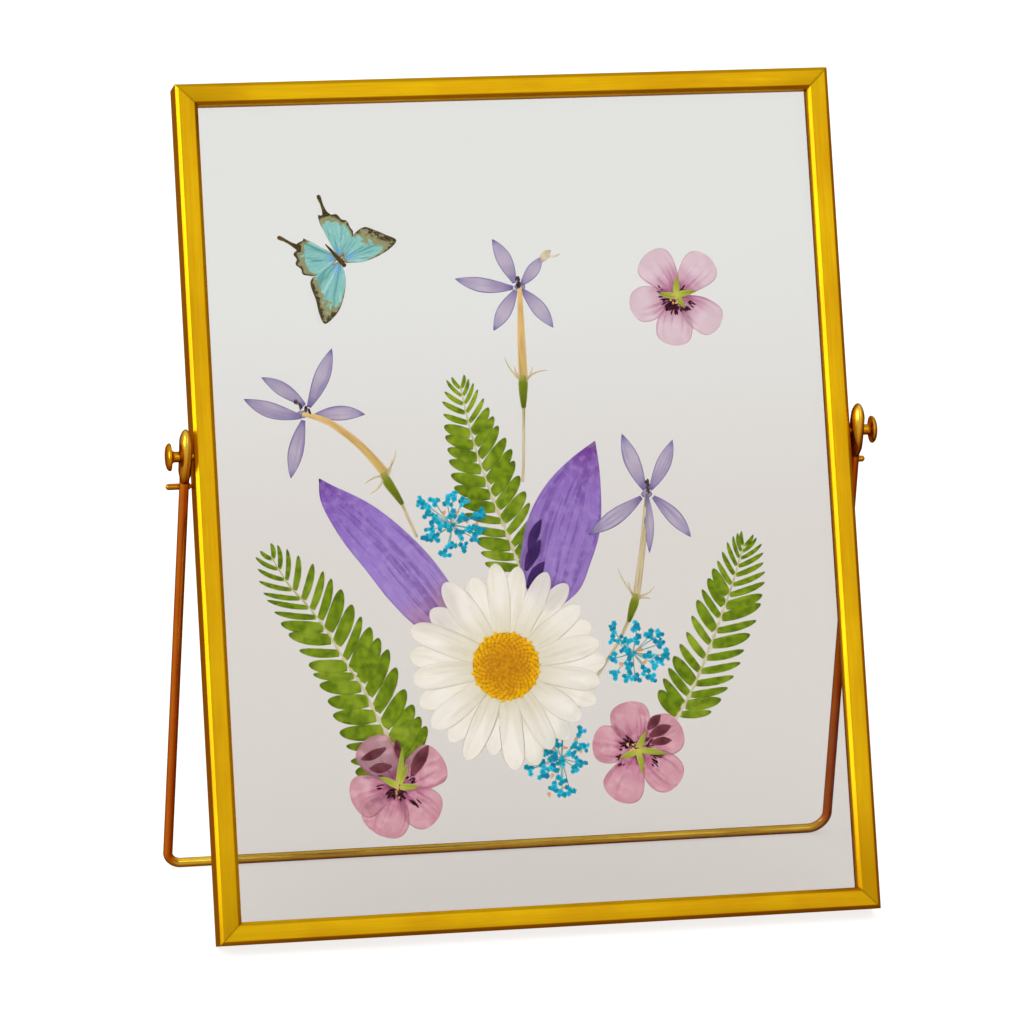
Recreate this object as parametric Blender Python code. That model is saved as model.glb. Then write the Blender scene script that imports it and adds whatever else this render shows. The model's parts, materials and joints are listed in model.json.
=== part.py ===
"""Pressed flower frame: dried specimens between two panes in a mitred metal frame on a wire stand.

The frame is drawn upright in its own space: X to the right, Y from the front face to the back,
Z up from the bottom edge. One empty then leans it back, so that it rests on its rear bottom edge
and on the foot of the stand. World units are metres; every constant here is in millimetres.
"""

import math

import bmesh
import bpy
from mathutils import Matrix, Vector

MM = 0.001

# The frame and its bars
FRAME_WIDTH = 156.0
FRAME_HEIGHT = 200.0
FRAME_DEPTH = 10.0
BAR_FACE = 5.2
FRONT_BEVEL = 0.85
REAR_BEVEL = 0.25
FRONT_SECTION = 4.2
WALL = 1.8
REAR_LIP_FACE = 3.2
REAR_LIP = 0.8
MITRE_GAP = 0.25

# The panes and the room between them
PANE_THICKNESS = 1.4
PANE_CLEARANCE = 0.2
PANE_EDGE_CLEARANCE = 0.4
PANE_ARRIS = 0.15
PLATE_THICKNESS = 0.2
PLATE_GAP = 0.2

# The stand and its hinge
LEAN = math.radians(19.5)
PIVOT_HEIGHT = 113.0
PIVOT_DEPTH = 2.2
WIRE_RADIUS = 1.15
LEG_LENGTH = 111.8
LEG_SPACING_TOP = 79.9
LEG_SPACING_FOOT = 81.8
FOOT_BENDS = {"left": 3.2, "right": 4.8}
EYE_THICKNESS = 3.0
EYE_RADIUS = 6.9
EYE_WIDTH = 7.6
EYE_HOLE_RADIUS = 1.55
PIN_TENON = (0.8, 2.4)
PIN_NECK_RADIUS = 1.25
PIN_START = 0.3
PIN_HEAD = (3.25, 5.2, 6.6)
PEG_RADIUS = 0.75
PEG_TENON = (0.45, 1.1)
PEG_REACHES = {"left": 6.1, "right": 5.2}
PEG_DEPTH = 9.0
PEG_GAP = 0.15
HOLE_CLEARANCE = 0.15
HOLE_EXTRA_DEPTH = 0.3
RING_SIDES = 16
TURNED_SIDES = 24

# Specimens lie in four thin layers; layer 0 is nearest the front pane
LAYER_DAISY = 0
LAYER_STARS = 1
LAYER_PETALS = 2
LAYER_FERNS = 3
OUTLINE_STEPS = 60

BRASS = (0.83, 0.60, 0.10)
GLASS = (0.95, 0.97, 0.96)
LILAC = (0.58, 0.52, 0.72)
PINK = (0.79, 0.50, 0.62)
FERN_GREEN = (0.28, 0.40, 0.05)
VIOLET = (0.42, 0.28, 0.65)
CYAN = (0.04, 0.50, 0.66)
IVORY = (0.90, 0.88, 0.80)
WING_BLUE = (0.38, 0.68, 0.74)

# Each flower head: centre (x, z), then its petals as (heading in degrees, length, width)
STAR_WIDTH = 3.8
STAR_HEADS = {
    "star_flower_top": ((1.4, 150.3), ((116, 12.9), (171, 15.3), (237, 12.1), (308, 12.5), (48, 12.5))),
    "star_flower_left": ((-50.6, 122.2), ((66, 16.7), (358, 13.8), (253, 15.6), (164, 15.1), (138, 13.5))),
    "star_flower_right": ((29.2, 99.9), ((109, 15.7), (62, 14.5), (314, 14.1), (211, 16.9))),
}
# Tube, calyx and stem of each star flower as (x, z, half width) down to the cut end
STAR_STEMS = {
    "star_flower_top": (
        (1.6, 151.0, 1.1), (1.3, 127.9, 1.1), (1.1, 127.0, 1.3), (0.9, 121.9, 0.8),
        (0.8, 120.5, 0.4), (0.2, 112.0, 0.35), (-0.4, 104.1, 0.35),
    ),
    "star_flower_left": (
        (-51.5, 122.3, 1.0), (-44.8, 119.7, 1.1), (-38.6, 114.2, 1.2), (-32.9, 108.0, 1.2),
        (-31.6, 104.8, 1.2), (-29.3, 100.3, 0.7), (-28.6, 98.8, 0.4), (-26.2, 92.0, 0.35),
    ),
    "star_flower_right": (
        (28.9, 100.5, 1.1), (25.2, 76.3, 1.1), (24.3, 74.6, 1.3), (22.9, 70.6, 0.7),
        (22.0, 69.2, 0.4), (17.1, 61.4, 0.35), (11.5, 53.5, 0.35), (7.3, 48.1, 0.35),
    ),
}
PINK_HEADS = {
    "pink_flower_top": (
        (39.2, 147.0), ((122, 12.4, 9), (46, 12.5, 9), (324, 12.8, 9), (260, 11.9, 9), (191, 11.6, 9)),
    ),
    "pink_flower_left": (
        (-34.1, 34.5), ((195, 11.4, 10), (247, 12.2, 10), (319, 12.2, 9), (30, 12.8, 10), (121, 13.4, 9)),
    ),
    "pink_flower_right": (
        (23.1, 40.1), ((99, 11.8, 9), (167, 10.9, 9), (244, 12.9, 10), (318, 12.8, 9), (25, 12.2, 9)),
    ),
}
DAISY_CENTRE = (-7.0, 61.4)
DAISY_RADIUS = 24.4
DAISY_RAYS = 22
DAISY_NOTCH = 1.2
DAISY_DISC_RADIUS = 8.2
DAISY_DISC_THICKNESS = 0.34
BUTTERFLY_THORAX = (-40.4, 157.9)
BUTTERFLY_WINGS = (
    (18, 13.9, 6.5), (252, 15.6, 7), (103, 12.0, 8), (107, 16.4, 2), (172, 12.0, 8), (158, 16.2, 2),
    (135, 5.4, 2),
)
# Loose petals: a midrib as (x, z, half width) from the pointed end to the base
PETALS = {
    "petal_left": (
        (-48.4, 107.0, 0.5), (-45.0, 101.8, 3.2), (-39.4, 95.8, 5.6), (-33.2, 89.0, 6.8),
        (-27.4, 81.6, 7.2), (-22.2, 74.4, 6.0), (-19.6, 70.8, 3.0),
    ),
    "petal_right": (
        (17.4, 113.2, 0.5), (14.6, 107.4, 4.0), (11.6, 100.6, 7.2), (9.0, 94.0, 8.8),
        (6.6, 87.0, 8.6), (4.8, 80.0, 7.2), (3.4, 74.6, 3.4),
    ),
}
# Ferns: the rachis as (x, z, half width over the leaflets) from tip to base
FERNS = {
    "fern_left": (
        (-62.4, 92.0, 0.6), (-60.1, 88.0, 4.2), (-56.6, 82.6, 6.8), (-52.3, 77.0, 8.2),
        (-48.3, 71.0, 8.4), (-44.4, 64.0, 8.4), (-40.9, 57.6, 8.6), (-37.5, 50.3, 8.6),
        (-34.4, 43.0, 8.0), (-32.6, 37.2, 2.0),
    ),
    "fern_centre": (
        (-14.4, 129.6, 0.6), (-13.4, 126.0, 3.6), (-12.3, 119.8, 6.2), (-10.3, 111.0, 7.8),
        (-7.9, 103.0, 8.2), (-4.6, 95.0, 7.4), (-3.0, 89.0, 7.0), (-2.2, 84.0, 5.0),
    ),
    "fern_right": (
        (52.6, 90.2, 0.6), (51.5, 86.0, 4.4), (48.8, 78.6, 6.8), (45.8, 71.6, 8.2),
        (42.7, 64.6, 8.4), (39.3, 57.6, 8.6), (36.0, 51.2, 8.4), (32.6, 45.8, 5.0),
    ),
}
# Lace clusters: centre (x, z), half width, half height, layer
LACE = {
    "lace_flower_upper": ((-17.3, 94.4), 8.4, 7.9, LAYER_DAISY),
    "lace_flower_right": ((25.5, 62.4), 7.3, 7.5, LAYER_DAISY),
    "lace_flower_lower": ((4.8, 38.4), 8.2, 9.5, LAYER_PETALS),
}
LACE_LOBES = 7
LACE_LOBE_DEPTH = 0.12


def clear_scene():
    """Remove whatever the scene holds."""
    for item in list(bpy.data.objects):
        bpy.data.objects.remove(item, do_unlink=True)


def make_material(name, colour, roughness, metallic=0.0, transmission=0.0):
    """Return a Principled material."""
    material = bpy.data.materials.new(name)
    material.use_nodes = True
    shader = material.node_tree.nodes["Principled BSDF"]
    shader.inputs["Base Color"].default_value = (*colour, 1.0)
    shader.inputs["Roughness"].default_value = roughness
    shader.inputs["Metallic"].default_value = metallic
    shader.inputs["Transmission Weight"].default_value = transmission
    return material


def add_object(name, mesh, material, parent=None, location=(0.0, 0.0, 0.0), rotation=(0.0, 0.0, 0.0)):
    """Link a mesh as a named object with its own material; location is in millimetres."""
    item = bpy.data.objects.new(name, mesh)
    bpy.context.scene.collection.objects.link(item)
    if material is not None:
        item.data.materials.append(material)
    item.location = [value * MM for value in location]
    item.rotation_euler = rotation
    item.parent = parent
    return item


def finish_mesh(builder, name, smooth_angle=None):
    """Turn a bmesh in millimetres into a mesh in metres with its faces pointing out."""
    bmesh.ops.recalc_face_normals(builder, faces=builder.faces)
    bmesh.ops.scale(builder, vec=(MM, MM, MM), verts=builder.verts)
    mesh = bpy.data.meshes.new(name)
    builder.to_mesh(mesh)
    builder.free()
    if smooth_angle is not None:
        mesh.shade_smooth()
        mesh.set_sharp_from_angle(angle=smooth_angle)
    return mesh


def bridge_rings(builder, rings, closed_ends=True):
    """Join rings of vertices into a tube, with a face over each end."""
    for first, second in zip(rings, rings[1:]):
        count = len(first)
        for index in range(count):
            after = (index + 1) % count
            builder.faces.new((first[index], first[after], second[after], second[index]))
    if closed_ends:
        builder.faces.new(list(reversed(rings[0])))
        builder.faces.new(rings[-1])


def boolean(item, tool, operation):
    """Add an exact Boolean to item; the tool is a guide that isn't part of the object."""
    tool.hide_render = True
    tool.display_type = "WIRE"
    modifier = item.modifiers.new(operation.title(), "BOOLEAN")
    modifier.operation = operation
    modifier.solver = "EXACT"
    modifier.object = tool


# The holder

def bar_profile():
    """Section of a bar as (distance in from the outer edge, depth), rebated for the panes."""
    lip_front = FRAME_DEPTH - REAR_LIP
    return (
        (0.0, FRONT_BEVEL), (FRONT_BEVEL, 0.0), (BAR_FACE - FRONT_BEVEL, 0.0), (BAR_FACE, FRONT_BEVEL),
        (BAR_FACE, FRONT_SECTION), (WALL, FRONT_SECTION), (WALL, lip_front), (REAR_LIP_FACE, lip_front),
        (REAR_LIP_FACE, FRAME_DEPTH), (REAR_BEVEL, FRAME_DEPTH), (0.0, FRAME_DEPTH - REAR_BEVEL),
    )


def bar_mesh(name, length):
    """A bar along X whose outer edge is at Z = 0 and whose ends are cut at 45 degrees."""
    end_shift = MITRE_GAP / 2.0 * math.sqrt(2.0)
    builder = bmesh.new()
    rings = []
    for side in (-1.0, 1.0):
        ring = []
        for inward, depth in bar_profile():
            reach = length / 2.0 - inward - end_shift
            ring.append(builder.verts.new((side * reach, depth, inward)))
        rings.append(ring)
    bridge_rings(builder, rings)
    return finish_mesh(builder, name)


def drill(item, name, position, radius, depth, parent):
    """Drill a blind hole along X into a side bar; position is in the frame's space."""
    outward = math.copysign(1.0, position[0])
    builder = bmesh.new()
    bmesh.ops.create_cone(
        builder, cap_ends=True, segments=TURNED_SIDES, radius1=radius, radius2=radius, depth=2.0 * depth,
        matrix=Matrix.Rotation(math.pi / 2.0, 4, "Y"),
    )
    place = (outward * FRAME_WIDTH / 2.0, *position[1:])
    boolean(item, add_object(name, finish_mesh(builder, name), None, parent, place), "DIFFERENCE")


def build_bars(parent, brass, peg_height):
    """Four mitred bars; the side bars are drilled for the hinge pins and the stop pegs."""
    half_width = FRAME_WIDTH / 2.0
    layout = {
        "frame_bar_bottom": (FRAME_WIDTH, (0.0, 0.0, 0.0), 0.0),
        "frame_bar_top": (FRAME_WIDTH, (0.0, 0.0, FRAME_HEIGHT), math.pi),
        "frame_bar_left": (FRAME_HEIGHT, (-half_width, 0.0, FRAME_HEIGHT / 2.0), math.pi / 2.0),
        "frame_bar_right": (FRAME_HEIGHT, (half_width, 0.0, FRAME_HEIGHT / 2.0), -math.pi / 2.0),
    }
    for name, (length, location, turn) in layout.items():
        bar = add_object(name, bar_mesh(name, length), brass, parent, location, (0.0, turn, 0.0))
        if length == FRAME_WIDTH:
            continue
        side = math.copysign(1.0, location[0])
        pin_radius, pin_depth = PIN_TENON
        peg_radius, peg_depth = PEG_TENON
        drill(bar, name + "_pin_hole", (side, PIVOT_DEPTH, PIVOT_HEIGHT), pin_radius + HOLE_CLEARANCE,
              pin_depth + HOLE_EXTRA_DEPTH, parent)
        drill(bar, name + "_peg_hole", (side, PEG_DEPTH, peg_height), peg_radius + HOLE_CLEARANCE,
              peg_depth + HOLE_EXTRA_DEPTH, parent)


def build_panes(parent, glass):
    """Two panes set in the rebate, with their sharp edges taken off."""
    width = FRAME_WIDTH - 2.0 * (WALL + PANE_EDGE_CLEARANCE)
    height = FRAME_HEIGHT - 2.0 * (WALL + PANE_EDGE_CLEARANCE)
    front = FRONT_SECTION + PANE_CLEARANCE
    back = FRAME_DEPTH - REAR_LIP - PANE_CLEARANCE - PANE_THICKNESS
    for name, depth in (("glass_front", front), ("glass_back", back)):
        builder = bmesh.new()
        bmesh.ops.create_cube(builder, size=1.0)
        bmesh.ops.scale(builder, vec=(width, PANE_THICKNESS, height), verts=builder.verts)
        mesh = finish_mesh(builder, name)
        centre = (0.0, depth + PANE_THICKNESS / 2.0, FRAME_HEIGHT / 2.0)
        pane = add_object(name, mesh, glass, parent, centre)
        arris = pane.modifiers.new("Arris", "BEVEL")
        arris.width = PANE_ARRIS * MM
        arris.segments = 1


def turned_mesh(name, profile):
    """A turned piece on the X axis from (distance along X, radius) pairs, closed at both ends."""
    builder = bmesh.new()
    rings = []
    for along, radius in profile:
        ring = []
        for index in range(TURNED_SIDES):
            angle = 2.0 * math.pi * index / TURNED_SIDES
            ring.append(builder.verts.new((along, radius * math.cos(angle), radius * math.sin(angle))))
        rings.append(ring)
    bridge_rings(builder, rings)
    return finish_mesh(builder, name, math.radians(40.0))


def pin_profile():
    """Tenon, neck and domed head of a hinge pin, outward from the frame's side."""
    tenon_radius, tenon_length = PIN_TENON
    head_radius, head_start, head_end = PIN_HEAD
    head_rise = head_end - head_start
    return (
        (-tenon_length, tenon_radius), (PIN_START, tenon_radius), (PIN_START, PIN_NECK_RADIUS),
        (head_start - 0.5, PIN_NECK_RADIUS), (head_start, PIN_NECK_RADIUS + 0.6),
        (head_start + 0.1, head_radius - 0.2), (head_start + 0.3 * head_rise, head_radius),
        (head_start + 0.6 * head_rise, head_radius - 0.15), (head_end - 0.15, head_radius - 1.0),
        (head_end, head_radius - 2.2),
    )


def peg_profile(reach):
    """Tenon and rounded shaft of a stop peg that reaches so far out from the frame's side."""
    tenon_radius, tenon_length = PEG_TENON
    return (
        (-tenon_length, tenon_radius), (PIN_START, tenon_radius), (PIN_START, PEG_RADIUS),
        (reach - 0.4, PEG_RADIUS), (reach - 0.1, 0.7 * PEG_RADIUS), (reach, 0.35 * PEG_RADIUS),
    )


def build_pins(parent, brass, peg_height):
    """A hinge pin and a stop peg on each side."""
    for side, turn in (("left", math.pi), ("right", 0.0)):
        edge = FRAME_WIDTH / 2.0 if side == "right" else -FRAME_WIDTH / 2.0
        pin = "hinge_pin_" + side
        add_object(pin, turned_mesh(pin, pin_profile()), brass, parent, (edge, PIVOT_DEPTH, PIVOT_HEIGHT),
                   (0.0, 0.0, turn))
        peg = "stop_peg_" + side
        add_object(peg, turned_mesh(peg, peg_profile(PEG_REACHES[side])), brass, parent,
                   (edge, PEG_DEPTH, peg_height), (0.0, 0.0, turn))


def leg_stations(bend):
    """Centre, turn, in-plane half thickness and out-of-plane half width down one leg, out to +X."""
    eye_heights = [EYE_RADIUS * math.cos(math.pi * step / 14.0) for step in range(1, 14)]
    leg_heights = [-1.2 * EYE_RADIUS, -40.0, -80.0, bend - LEG_LENGTH]
    stations = [(Vector((LEG_SPACING_TOP, 0.0, EYE_RADIUS)), 0.0, 0.5, 0.6)]
    for height in eye_heights + leg_heights:
        share = min(max(-height / LEG_LENGTH, 0.0), 1.0)
        across = LEG_SPACING_TOP + (LEG_SPACING_FOOT - LEG_SPACING_TOP) * share
        rise = math.sqrt(max(0.0, 1.0 - (height / EYE_RADIUS) ** 2))
        wide = EYE_WIDTH / 2.0 * rise
        thin = EYE_THICKNESS / 2.0 * min(1.0, 1.4 * rise)
        if height < 0.0:
            wide = max(wide, WIRE_RADIUS)
            thin = max(thin, WIRE_RADIUS)
        stations.append((Vector((across, 0.0, height)), 0.0, thin, wide))
    return stations


def bend_stations(bend):
    """Stations round one foot bend, from the leg to the foot bar."""
    stations = []
    centre = Vector((LEG_SPACING_FOOT - bend, 0.0, bend - LEG_LENGTH))
    for step in range(1, 7):
        angle = math.pi / 2.0 * step / 6.0
        offset = Vector((bend * math.cos(angle), 0.0, -bend * math.sin(angle)))
        stations.append((centre + offset, angle, WIRE_RADIUS, WIRE_RADIUS))
    return stations


def half_stand(side):
    """Rings of points from one eye down to the middle of the foot bar."""
    bend = FOOT_BENDS[side]
    mirror = 1.0 if side == "right" else -1.0
    rings = []
    for centre, turn, thin, wide in leg_stations(bend) + bend_stations(bend):
        ring = []
        inward = Vector((-math.cos(turn), 0.0, math.sin(turn)))
        for index in range(RING_SIDES):
            angle = 2.0 * math.pi * index / RING_SIDES
            point = centre + inward * (thin * math.cos(angle)) + Vector((0.0, wide * math.sin(angle), 0.0))
            ring.append((mirror * point.x, point.y, point.z))
        rings.append(ring)
    return rings


def stand_mesh():
    """The U of wire, hanging straight down from the hinge axis, with an eye on each end."""
    builder = bmesh.new()
    rings = half_stand("right") + list(reversed(half_stand("left")))
    vertices = [[builder.verts.new(point) for point in ring] for ring in rings]
    bridge_rings(builder, vertices)
    return finish_mesh(builder, "wire_stand", math.radians(50.0))


def stand_angle():
    """Angle between the stand's legs and the frame when the foot stands on the table."""
    contact = FRAME_DEPTH - REAR_BEVEL
    pivot_height = PIVOT_HEIGHT * math.cos(LEAN) + (contact - PIVOT_DEPTH) * math.sin(LEAN)
    from_vertical = math.acos((pivot_height - WIRE_RADIUS) / LEG_LENGTH)
    return LEAN + from_vertical


def peg_height_on_frame():
    """Height at which a peg at PEG_DEPTH just clears the back of the open leg."""
    opened = stand_angle()
    clear = WIRE_RADIUS + PEG_RADIUS + PEG_GAP
    along = (PEG_DEPTH - PIVOT_DEPTH - clear * math.cos(opened)) / math.sin(opened)
    return PIVOT_HEIGHT - along * math.cos(opened) + clear * math.sin(opened)


def build_stand(parent, brass):
    """The wire stand, whose origin is on the hinge axis."""
    pivot = (0.0, PIVOT_DEPTH, PIVOT_HEIGHT)
    stand = add_object("wire_stand", stand_mesh(), brass, parent, pivot, (stand_angle(), 0.0, 0.0))
    reach = 1.1 * LEG_SPACING_TOP
    hole = turned_mesh("eye_holes", ((-reach, EYE_HOLE_RADIUS), (reach, EYE_HOLE_RADIUS)))
    boolean(stand, add_object("eye_holes", hole, None, parent, pivot), "DIFFERENCE")


# The specimens

def lobe_reach(lobe, angle):
    """How far an elliptical petal, rooted at the centre, reaches in a direction."""
    heading, length, width = lobe
    offset = angle - math.radians(heading)
    along = math.cos(offset)
    if along <= 0.0:
        return 0.0
    stretch = (length / width) ** 2
    return length * along / (along ** 2 + stretch * math.sin(offset) ** 2)


def lobed_outline(centre, lobes, core):
    """Outline of petals round a centre, never closer to it than the core radius."""
    headings = [math.radians(lobe[0]) for lobe in lobes]
    angles = [2.0 * math.pi * step / OUTLINE_STEPS for step in range(OUTLINE_STEPS)]
    angles = sorted({round(angle % (2.0 * math.pi), 4) for angle in angles + headings})
    outline = []
    for angle in angles:
        reach = max([core] + [lobe_reach(lobe, angle) for lobe in lobes])
        outline.append((centre[0] + reach * math.cos(angle), centre[1] + reach * math.sin(angle)))
    return outline


def smooth_spine(points, steps=3):
    """Catmull-Rom points through (x, z, half width) stations."""
    padded = [points[0], *points, points[-1]]
    spine = []
    for index in range(1, len(padded) - 2):
        group = [Vector(point) for point in padded[index - 1:index + 3]]
        for step in range(steps):
            share = step / steps
            before, start, end, after = group
            spine.append(
                0.5 * (2.0 * start + (end - before) * share
                       + (2.0 * before - 5.0 * start + 4.0 * end - after) * share ** 2
                       + (3.0 * start - before - 3.0 * end + after) * share ** 3)
            )
    spine.append(Vector(points[-1]))
    return spine


def ribbon_outline(points, steps=3):
    """Outline of a ribbon that follows (x, z, half width) stations."""
    spine = smooth_spine(points, steps)
    left, right = [], []
    for index, station in enumerate(spine):
        before = spine[max(index - 1, 0)]
        after = spine[min(index + 1, len(spine) - 1)]
        run = Vector((after.x - before.x, after.y - before.y)).normalized()
        half = max(station.z, 0.3)
        left.append((station.x - run.y * half, station.y + run.x * half))
        right.append((station.x + run.y * half, station.y - run.x * half))
    return left + list(reversed(right))


def plate_mesh(name, outline, thickness):
    """A flat plate with the given (x, z) outline, centred on Y = 0."""
    builder = bmesh.new()
    rings = []
    for depth in (-thickness / 2.0, thickness / 2.0):
        rings.append([builder.verts.new((x, depth, z)) for x, z in outline])
    bridge_rings(builder, rings)
    return finish_mesh(builder, name)


def layer_depth(layer):
    """Depth of the middle of a layer of specimens behind the frame's front face."""
    first = FRONT_SECTION + PANE_CLEARANCE + PANE_THICKNESS + PLATE_GAP + PLATE_THICKNESS / 2.0
    return first + layer * (PLATE_THICKNESS + PLATE_GAP)


def add_plate(name, outline, layer, material, parent, thickness=PLATE_THICKNESS):
    """A specimen's plate in its layer."""
    place = (0.0, layer_depth(layer), 0.0)
    return add_object(name, plate_mesh(name, outline, thickness), material, parent, place)


def build_star_flowers(parent, lilac):
    """Lilac stars: five pointed petals on a long tube and a thin stem."""
    for name, (centre, petals) in STAR_HEADS.items():
        lobes = [(heading, length, STAR_WIDTH) for heading, length in petals]
        head = add_plate(name, lobed_outline(centre, lobes, 1.4), LAYER_STARS, lilac, parent)
        stem = add_plate(name + "_stem", ribbon_outline(STAR_STEMS[name], 2), LAYER_STARS, None, parent,
                         0.9 * PLATE_THICKNESS)
        boolean(head, stem, "UNION")


def build_round_flowers(parent, pink):
    """Pink flowers with five round petals."""
    for name, (centre, petals) in PINK_HEADS.items():
        add_plate(name, lobed_outline(centre, petals, 3.0), LAYER_STARS, pink, parent)


def build_daisy(parent, ivory):
    """The daisy: a scalloped plate of ray petals with a thicker disc at its centre."""
    outline = []
    steps = DAISY_RAYS * 3
    for step in range(steps):
        angle = 2.0 * math.pi * step / steps
        reach = DAISY_RADIUS - (DAISY_NOTCH if step % 3 == 0 else 0.0)
        outline.append((DAISY_CENTRE[0] + reach * math.cos(angle), DAISY_CENTRE[1] + reach * math.sin(angle)))
    daisy = add_plate("daisy", outline, LAYER_DAISY, ivory, parent)
    disc = lobed_outline(DAISY_CENTRE, (), DAISY_DISC_RADIUS)
    disc_plate = add_plate("daisy_disc", disc, LAYER_DAISY, None, parent, DAISY_DISC_THICKNESS)
    boolean(daisy, disc_plate, "UNION")


def build_butterfly(parent, blue):
    """The butterfly: four wings, two with tails, round a short body."""
    outline = lobed_outline(BUTTERFLY_THORAX, BUTTERFLY_WINGS, 1.3)
    add_plate("butterfly", outline, LAYER_DAISY, blue, parent)


def build_foliage(parent, green, violet):
    """Fern fronds and the two loose petals."""
    for name, points in FERNS.items():
        add_plate(name, ribbon_outline(points), LAYER_FERNS, green, parent)
    for name, points in PETALS.items():
        add_plate(name, ribbon_outline(points), LAYER_PETALS, violet, parent)


def build_lace(parent, cyan):
    """Clusters of tiny florets, each as one lobed plate."""
    for name, (centre, half_width, half_height, layer) in LACE.items():
        outline = []
        for step in range(OUTLINE_STEPS):
            angle = 2.0 * math.pi * step / OUTLINE_STEPS
            lobed = 1.0 - LACE_LOBE_DEPTH * (1.0 - abs(math.cos(LACE_LOBES * angle / 2.0)))
            across = half_width * lobed * math.cos(angle)
            outline.append((centre[0] + across, centre[1] + half_height * lobed * math.sin(angle)))
        add_plate(name, outline, layer, cyan, parent)


def frame_origin():
    """Place of the leaning frame's own origin, so the whole rests on Z = 0 about X = Y = 0."""
    contact = FRAME_DEPTH - REAR_BEVEL
    front_edge = FRONT_BEVEL * math.sin(LEAN)
    back_edge = FRAME_DEPTH * math.cos(LEAN) + (FRAME_HEIGHT - REAR_BEVEL) * math.sin(LEAN)
    return (0.0, -(front_edge + back_edge) / 2.0, contact * math.sin(LEAN))


def main():
    clear_scene()
    brass = make_material("brass", BRASS, 0.35, metallic=1.0)
    glass = make_material("glass", GLASS, 0.02, transmission=1.0)
    lean = bpy.data.objects.new("lean", None)
    bpy.context.scene.collection.objects.link(lean)
    lean.location = [value * MM for value in frame_origin()]
    lean.rotation_euler = (-LEAN, 0.0, 0.0)
    peg_height = peg_height_on_frame()
    build_bars(lean, brass, peg_height)
    build_panes(lean, glass)
    build_pins(lean, brass, peg_height)
    build_stand(lean, brass)
    build_star_flowers(lean, make_material("lilac_petal", LILAC, 0.7))
    build_round_flowers(lean, make_material("pink_petal", PINK, 0.7))
    build_daisy(lean, make_material("ivory_petal", IVORY, 0.7))
    build_butterfly(lean, make_material("butterfly_wing", WING_BLUE, 0.6))
    violet = make_material("violet_petal", VIOLET, 0.7)
    build_foliage(lean, make_material("fern_leaf", FERN_GREEN, 0.7), violet)
    build_lace(lean, make_material("blue_floret", CYAN, 0.7))


main()
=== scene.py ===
"""Looks of the pressed flower frame: gold-coloured metal, clear panes and the dried specimens between them.

Shapes are worked out in the frame's own space, in millimetres: u to the right, v up along the
frame from its bottom edge and w from the front face to the back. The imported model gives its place.
"""
import json
import logging
import math
import random
from dataclasses import dataclass, field, replace
from enum import Enum
from typing import Any, Callable, Iterable, Sequence

import bmesh
import bpy
from mathutils import Matrix, Vector
from mathutils.geometry import intersect_line_line_2d


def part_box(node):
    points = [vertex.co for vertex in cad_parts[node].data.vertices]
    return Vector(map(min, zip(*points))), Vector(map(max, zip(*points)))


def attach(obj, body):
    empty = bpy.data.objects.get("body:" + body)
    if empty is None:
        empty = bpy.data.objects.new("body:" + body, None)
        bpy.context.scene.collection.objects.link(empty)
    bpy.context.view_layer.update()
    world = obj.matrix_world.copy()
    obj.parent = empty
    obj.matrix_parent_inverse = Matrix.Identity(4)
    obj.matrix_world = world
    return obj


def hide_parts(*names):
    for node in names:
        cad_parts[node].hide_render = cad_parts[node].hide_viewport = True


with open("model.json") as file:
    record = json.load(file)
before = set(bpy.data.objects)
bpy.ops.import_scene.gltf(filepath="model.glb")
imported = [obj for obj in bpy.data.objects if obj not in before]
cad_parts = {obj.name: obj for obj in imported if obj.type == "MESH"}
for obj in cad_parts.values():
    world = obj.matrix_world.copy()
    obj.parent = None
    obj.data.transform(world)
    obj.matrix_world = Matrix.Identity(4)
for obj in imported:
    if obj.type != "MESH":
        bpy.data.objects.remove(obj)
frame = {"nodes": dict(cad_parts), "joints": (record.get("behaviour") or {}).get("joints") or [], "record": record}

LOG = logging.getLogger("pressed_flower_frame")
MM = 0.001
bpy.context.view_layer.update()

Point = tuple[float, float]
Station = tuple[float, float, float]
Ramp = tuple[tuple[float, str], ...]
Material = bpy.types.Material
Socket = bpy.types.NodeSocket
Tree = bpy.types.NodeTree
Pattern = tuple[Socket, float, float, float, float]
MARK_VALUES = ("along", "across", "run_mm", "side_mm", "tone")


# Colour and nodes


def linear(code: str) -> tuple[float, float, float, float]:
    """Turn an sRGB hex code into a linear colour.

    Args:
        code: Six hex digits, with or without a leading hash.

    Returns:
        Red, green, blue and an alpha of one.
    """
    digits = code.lstrip("#")
    channels = [int(digits[start:start + 2], 16) / 255.0 for start in (0, 2, 4)]
    values = [c / 12.92 if c <= 0.04045 else ((c + 0.055) / 1.055) ** 2.4 for c in channels]
    return (values[0], values[1], values[2], 1.0)


def add_node(tree: Tree, kind: str, settings: dict[Any, Any] | None = None,
             links: dict[Any, Socket] | None = None) -> bpy.types.Node:
    """Add a node with its settings and links.

    Args:
        tree: Node tree that takes the node.
        kind: Blender's name of the node type.
        settings: Input names or numbers, or attributes, to values. The key "ramp" takes stops.
        links: Input names or numbers to the sockets that feed them.

    Returns:
        The new node.
    """
    node = tree.nodes.new(kind)
    for key, value in (settings or {}).items():
        if key == "ramp":
            stops = node.color_ramp.elements
            while len(stops) < len(value):
                stops.new(0.5)
            for stop, (position, code) in zip(stops, value):
                stop.position = position
                stop.color = linear(code)
        elif isinstance(key, int) or key in node.inputs:
            node.inputs[key].default_value = value
        else:
            setattr(node, key, value)
    for key, socket in (links or {}).items():
        tree.links.new(socket, node.inputs[key])
    return node


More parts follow.
